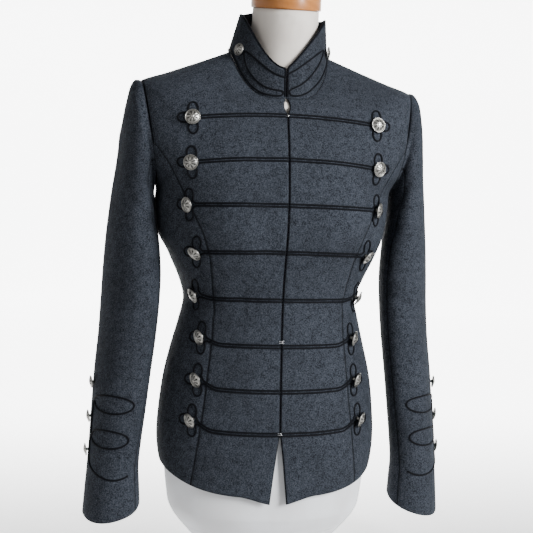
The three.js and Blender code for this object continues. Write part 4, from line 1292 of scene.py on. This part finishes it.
def form_jersey():
    """Off-white jersey pulled over the form, warmer on the neck, with fine knit rows."""
    f = Finish("form_jersey")
    place = f.place()
    z = f.split(place)[2]
    rows = f.waves(z, 0.0011)
    slub = f.noise(f.scaled(place, (1.0, 1.0, 5.0)), 300, 3.0)
    cloud = f.noise(place, 18, 2.0)
    cool = f.mix((0.70, 0.71, 0.73, 1), (0.62, 0.62, 0.63, 1), f.step(cloud, 0.35, 0.75))
    warm = f.mix((0.70, 0.645, 0.585, 1), (0.60, 0.545, 0.49, 1), f.step(cloud, 0.35, 0.75))
    base = f.mix(cool, warm, f.step(z, 0.5, 0.66))
    base = f.mix(base, (0.5, 0.46, 0.42, 1), f.step(slub, 0.58, 0.8) * 0.18)
    return f.surface(base, slub * 0.15 + 0.72, rows * 0.4 + slub * 0.6, 0.00016)


def cap_varnished():
    """Turned hardwood under a worn varnish: growth rings and long pores."""
    f = Finish("cap_varnished")
    place = f.place()
    x, y, z = f.split(place)
    bent = f.noise(place, 16, 2.0)
    rings = x * 0.2 + y * 0.1 + z + bent * 0.02
    grain = f.waves(rings, 0.012)
    pores = f.noise(f.scaled(place, (1.0, 1.0, 0.12)), 900, 2.0)
    dark = grain * 0.35 + f.step(pores, 0.5, 0.8) * 0.45
    base = f.mix((0.40, 0.15, 0.034, 1), (0.26, 0.085, 0.018, 1), dark)
    rough = pores * 0.12 + 0.34
    return f.surface(base, rough, pores, 0.00005, Specular_IOR_Level=0.3, Coat_Weight=0.18,
                     Coat_Roughness=0.2)


def studio_white():
    """White paper that glows as painted light, bright behind the object and dim in front of it,
    where its colour is also painted grey as painted shade.
    """
    f = Finish("studio_white")
    place = f.place()
    grain = f.noise(place, 3, 2.0)
    x, y = f.split(place)[:2]
    within = y * 0.3 + 0.6 - f.math("ABSOLUTE", x - y * 0.19)
    share = f.step(within, -0.5, 0.1) * f.step(y, -0.4, 1.0)
    # painted shade: the paper's colour is grey in front of the object and white behind
    base = f.mix((0.36, 0.36, 0.36, 1), (0.88, 0.88, 0.88, 1), share * 0.94 + grain * 0.06)
    # painted light: the paper itself glows, strongest behind the object
    glow = f.mix((0.015, 0.015, 0.015, 1), (1, 1, 1, 1), share)
    return f.surface(base, 0.9, None, Emission_Color=glow, Emission_Strength=6.0)


# Pieces

WOOL = wool_melton("wool_melton")
# The collar's wool is a copy made 15% darker: painted shade
WOOL_COLLAR_SHADED = wool_melton("wool_collar", 0.85)
SOUTACHE = soutache_black()
PIPING_AND_SHADE_CORD = piping_black()
PEWTER = pewter_cast()
WIRE = wire_steel()

cloths = {}


def keep(piece, cut):
    cloths[piece.name] = {"piece": piece, "cut": cut, "on": []}


hem_rows = body_rows(ROW_NECK)
side_rows = body_rows(SIDE_TIP)
PANELS = [
    ("front", True, hem_rows, front_edge, front_outer, 34,
     (EDGE_ROLL, SEAM_ROLL, EDGE_ROLL, NECK_ROLL)),
    ("side_front", True, side_rows, front_outer, lambda v: armhole_u(v, True), 16,
     (SEAM_ROLL, ARM_ROLL, EDGE_ROLL, SEAM_ROLL)),
    ("side_back", False, side_rows, lambda v: armhole_u(v, False), back_outer, 20,
     (ARM_ROLL, SEAM_ROLL, EDGE_ROLL, SEAM_ROLL)),
    ("back", False, hem_rows, back_outer, lambda v: 0.5, 30,
     (SEAM_ROLL, SEAM_ROLL, EDGE_ROLL, NECK_ROLL)),
]
for name, front, rows, edge_in, edge_out, count, rolls in PANELS:
    for piece, cut in body_panels(name, front, rows, edge_in, edge_out, count, rolls, WOOL):
        keep(piece, cut)
under_to = tuple(w + 1 for w in FOREARM_SEAM)
for name, start, end, count in [
    ("sleeve_upper", FOREARM_SEAM, HINDARM_SEAM, 40), ("sleeve_under", HINDARM_SEAM, under_to, 32),
]:
    for piece, cut in sleeve_panels(name, start, end, count, WOOL):
        keep(piece, cut)
keep(*collar_panel(WOOL_COLLAR_SHADED))

form_torso(form_jersey())
form_cap(cap_varnished())

braid_lines = {"left": [], "right": []}


def sewn(side, places, sign):
    """Keep the line of a braid's groove for its stitches."""
    braid_lines[side].append([(p + n * BRAID_MIDDLE) * [sign, 1, 1] for p, n in places])


for i, row in enumerate(ROWS):
    flat, (end, end_z) = frogging_path(row)
    for side, sign in SIDES.items():
        places = [front_place(d, z, sign) for d, z in flat]
        node = f"frog_row{i + 1}_{side}"
        braid = braid_piece(f"{node}_braid", places, sign, SOUTACHE, node)
        cloths[f"front_{side}_cloth"]["on"].append(braid)
        sewn(side, places, sign)
        button = f"button_row{i + 1}_{side}"
        cloths[f"front_{side}_cloth"]["on"].append(
            button_piece(button, LARGE, front_place(end, end_z, sign), sign, LEAN[i], PEWTER))

cuff_flat = cuff_path()
for side, sign in SIDES.items():
    owner = cloths[f"sleeve_upper_{side}_cloth"]
    places = [sleeve_place(w, z, sign) for w, z in cuff_flat]
    node = f"cuff_cord_{side}"
    owner["on"].append(braid_piece(f"{node}_braid", places, sign, SOUTACHE, node))
    sewn(side, places, sign)
    for i, z in enumerate(CUFF_BUTTON_Z):
        place = sleeve_place(CUFF_BUTTON_AT, z, sign)
        button = f"button_cuff{i + 1}_{side}"
        owner["on"].append(button_piece(button, SMALL, place, sign, CUFF_LEAN, PEWTER))

for side, turn in {"left": lambda u: u, "right": lambda u: 1 - u}.items():
    owner = cloths["collar_cloth"]
    places = [collar_place(turn(u), h) for u, h in finer(COLLAR_CORD[side], 10)]
    node = f"collar_cord_{side}"
    owner["on"].append(braid_piece(f"{node}_braid", places, 1, SOUTACHE, node))
    sewn(side, places, 1)
    place = collar_place(turn(COLLAR_BUTTON[side][0]), COLLAR_BUTTON[side][1])
    owner["on"].append(button_piece(f"button_collar_{side}", SMALL, place, 1, COLLAR_LEAN, PEWTER))


def piping_and_shade_cord_piece(name, points, normals, radius, lift):
    grid, faces, uv = sweep(points, normals, round_section(radius, lift))
    return build(name, grid, faces, PIPING_AND_SHADE_CORD, uv=uv)


# The front cord is painted shade along the wearer's left front edge; the collar's piping is real.
FRONT_SHADE_CORD_RADIUS, COLLAR_PIPING = 0.85, 1.5    # radius


def front_shade_cord():
    """Narrow black cord down the wearer's left front edge: painted shade where the edge's thickness
    and the gap lie in shadow.
    """
    points, normals = [], []
    for v in np.arange(0.02, 21.9, 0.08):
        u = front_edge(v) + (SEAM / 2 + 0.95) / (4 * ring_length(v))
        point, normal = body(u, v)[0], body_normal(u, v)[0]
        points.append(point + normal * body_relief(point, 1))
        normals.append(normal)
    return piping_and_shade_cord_piece("front_edge_piping", eased(points, 1), normals, FRONT_SHADE_CORD_RADIUS, -0.2)


def collar_piping():
    """Black piping up both front edges of the collar and round its top."""
    ups = np.linspace(0.06, 0.97, 30)
    rounds = np.linspace(0.005, 0.995, 240)
    spots = [(0.0038, h, 0.6) for h in ups] + [(u, 1.0, 1.4) for u in rounds]
    spots += [(0.9962, h, 0.6) for h in ups[::-1]]
    points, normals = [], []
    for u, h, sunk in spots:
        point, normal = collar_place(u, h)
        points.append(point - normal * sunk)
        normals.append(normal)
    return piping_and_shade_cord_piece("collar_edge_piping", eased(points, 3), eased(normals, 3), COLLAR_PIPING, 0)


HOOK_HEIGHTS = (603.5, 303, 184)
WIRE_RADIUS = 0.42
HOOK_LINE = [
    (-3.4, 1.1), (-1.2, 1.15), (0.4, 1.1), (1.4, 0.7), (1.7, 0), (1.4, -0.7), (0.4, -1.1),
    (-1.2, -1.15), (-3.4, -1.1),
]
EYE_LINE = [(3.4, 1.7), (1.8, 1.7), (0.9, 1.0), (0.7, 0), (0.9, -1.0), (1.8, -1.7), (3.4, -1.7)]


def hook_piece(number, z0):
    """A wire hook on the wearer's right edge, through a wire eye on the left one."""
    grids, faces, start = [], [], 0
    for line, proud in ((HOOK_LINE, 0.75), (EYE_LINE, 0.25)):
        points = []
        for x, up in finer(line, 6):
            point = front_place(abs(x), z0 + up, 1 if x > 0 else -1)[0]
            points.append([x, point[1] - proud, z0 + up])
        grid, quads, _ = sweep(points, [[0, -1, 0]] * len(points), round_section(WIRE_RADIUS, 0, 8))
        grids.append(grid)
        faces += [[index + start for index in face] for face in quads]
        start += len(grid)
    return build(f"front_hook_{number}", np.concatenate(grids), faces, WIRE)


cloths["front_left_cloth"]["on"].append(front_shade_cord())
cloths["collar_cloth"]["on"].append(collar_piping())
for number, height in enumerate(HOOK_HEIGHTS, 1):
    cloths["front_right_cloth"]["on"].append(hook_piece(number, height))


# Sewing: one small thread lies across the groove of each braid at every pitch

STITCH = {"Pitch": 0.0034, "Stitch": 0.0013, "Thickness": 0.00026}


def stitch_tree(material):
    tree = bpy.data.node_groups.new("sewn_threads", "GeometryNodeTree")
    tree.interface.new_socket("Geometry", in_out="INPUT", socket_type="NodeSocketGeometry")
    for label, size in STITCH.items():
        socket = tree.interface.new_socket(label, in_out="INPUT", socket_type="NodeSocketFloat")
        socket.default_value = size
    tree.interface.new_socket("Geometry", in_out="OUTPUT", socket_type="NodeSocketGeometry")

    def add(kind, settings=None, links=None):
        node = tree.nodes.new(kind)
        for key, value in (settings or {}).items():
            setattr(node, key, value)
        for key, value in (links or {}).items():
            if isinstance(value, bpy.types.NodeSocket):
                tree.links.new(value, node.inputs[key])
            else:
                node.inputs[key].default_value = value
        return node

    given = add("NodeGroupInput").outputs
    curve = add("GeometryNodeMeshToCurve", links={"Mesh": given["Geometry"]})
    spaced = add("GeometryNodeResampleCurve", {"mode": "LENGTH"},
                 {"Curve": curve.outputs[0], "Length": given["Pitch"]})
    half = add("ShaderNodeMath", {"operation": "MULTIPLY"}, {0: given["Thickness"], 1: 0.5})
    thread = add("GeometryNodeMeshCylinder", {"fill_type": "TRIANGLE_FAN"}, {
        "Vertices": 5, "Radius": half.outputs[0], "Depth": given["Stitch"],
    })
    tangent = add("GeometryNodeInputTangent")
    turn = add("FunctionNodeAlignRotationToVector", {"axis": "Z"}, {"Vector": tangent.outputs[0]})
    threads = add("GeometryNodeInstanceOnPoints", links={
        "Points": spaced.outputs[0], "Instance": thread.outputs["Mesh"], "Rotation": turn.outputs[0],
    })
    real = add("GeometryNodeRealizeInstances", links={"Geometry": threads.outputs[0]})
    dressed = add("GeometryNodeSetMaterial", {}, {"Geometry": real.outputs[0], "Material": material})
    add("NodeGroupOutput", links={"Geometry": dressed.outputs[0]})
    return tree


def sewn_piece(name, lines, tree):
    points, edges = [], []
    for line in lines:
        edges += [(len(points) + k, len(points) + k + 1) for k in range(len(line) - 1)]
        points += [tuple(np.asarray(p) * MM) for p in line]
    mesh = bpy.data.meshes.new(f"{name}_line")
    mesh.from_pydata(points, edges, [])
    carrier = add_object(f"{name}_line", mesh)
    modifier = carrier.modifiers.new("sewing", "NODES")
    modifier.node_group = tree
    for item in tree.interface.items_tree:
        if item.in_out == "INPUT" and item.name in STITCH:
            modifier[item.identifier] = STITCH[item.name]
    graph = bpy.context.evaluated_depsgraph_get()
    threads = bpy.data.meshes.new_from_object(carrier.evaluated_get(graph))
    threads.name = name
    bpy.data.objects.remove(carrier)
    piece = add_object(name, threads)
    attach(piece, "root")
    return piece


def thread_finish():
    f = Finish("thread_black")
    twist = f.noise(f.place(), 3000, 1.0)
    base = f.mix((0.004, 0.0045, 0.006, 1), (0.018, 0.02, 0.025, 1), twist)
    return f.surface(base, twist * 0.15 + 0.6, twist, 0.00004, Specular_IOR_Level=0.08)


sewing = stitch_tree(thread_finish())
for side in SIDES:
    cloths[f"front_{side}_cloth"]["on"].append(
        sewn_piece(f"braid_stitches_{side}", braid_lines[side], sewing))

# Each cloth's cut size, side and the pieces sewn on it are looked up; nothing more is done with them
for name, cloth in cloths.items():
    width, length, area = cloth["cut"]
    side = name.split("_")[-2]
    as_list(cloth["on"])


# Studio

COVE_FLOOR, COVE_BEND, COVE_SIDES = 3.4, 1.4, 96    # radius of the floor and of the bend


def studio_cove():
    """A pale floor that rises into a wall all round, far from the object."""
    profile = [(0.02, 0), (1.2, 0), (2.6, 0), (COVE_FLOOR, 0)]
    for bend in np.radians(range(9, 91, 9)):
        profile.append((COVE_FLOOR + COVE_BEND * math.sin(bend), COVE_BEND * (1 - math.cos(bend))))
    wall = COVE_FLOOR + COVE_BEND
    profile += [(wall, 2.6), (wall, 4.2)]
    angles = 2 * math.pi * np.arange(COVE_SIDES) / COVE_SIDES
    points = [(r * math.cos(a), r * math.sin(a), height) for r, height in profile for a in angles]
    faces = grid_quads(round_ids(len(profile), COVE_SIDES)).tolist()
    faces.append(tuple(range(COVE_SIDES))[::-1])
    mesh = bpy.data.meshes.new("studio_floor")
    mesh.from_pydata(points, [], faces)
    mesh.polygons.foreach_set("use_smooth", [True] * len(mesh.polygons))
    mesh.materials.append(studio_white())
    cove = add_object("studio_floor", mesh)


# Lights: name, place, aim, width, height, watts, colour
LIGHTS = [
    ("key_softbox", (1.8, -2.1, 1.4), (0.0, 0, 0.4), 1.2, 1.2, 202, (0.96, 0.98, 1.0)),
    ("fill_softbox", (-2.2, -1.8, 1.2), (0.0, 0, 0.4), 1.6, 2.0, 10, (1.0, 0.98, 0.96)),
    ("top_softbox", (0.2, -0.3, 2.6), (0, 0, 0.4), 1.8, 1.4, 4, (1, 1, 1)),
]
WORLD_STRENGTH = 0.15


def studio_lights():
    for name, place, aim, width, height, watts, colour in LIGHTS:
        data = bpy.data.lights.new(name, "AREA")
        data.shape = "RECTANGLE"
        data.size, data.size_y = width, height
        data.energy, data.color = watts, colour
        lamp = add_object(name, data)
        away = unit(np.array(place, float) - np.array(aim, float))
        side = unit(np.cross([0, 0, 1.0], away))
        stand(lamp, side, np.cross(away, side), away, place)
    world = bpy.data.worlds.new("studio_world")
    world.use_nodes = True
    background = world.node_tree.nodes["Background"]
    background.inputs["Color"].default_value = (1, 1, 1, 1)
    background.inputs["Strength"].default_value = WORLD_STRENGTH
    bpy.context.scene.world = world


studio_cove()
studio_lights()
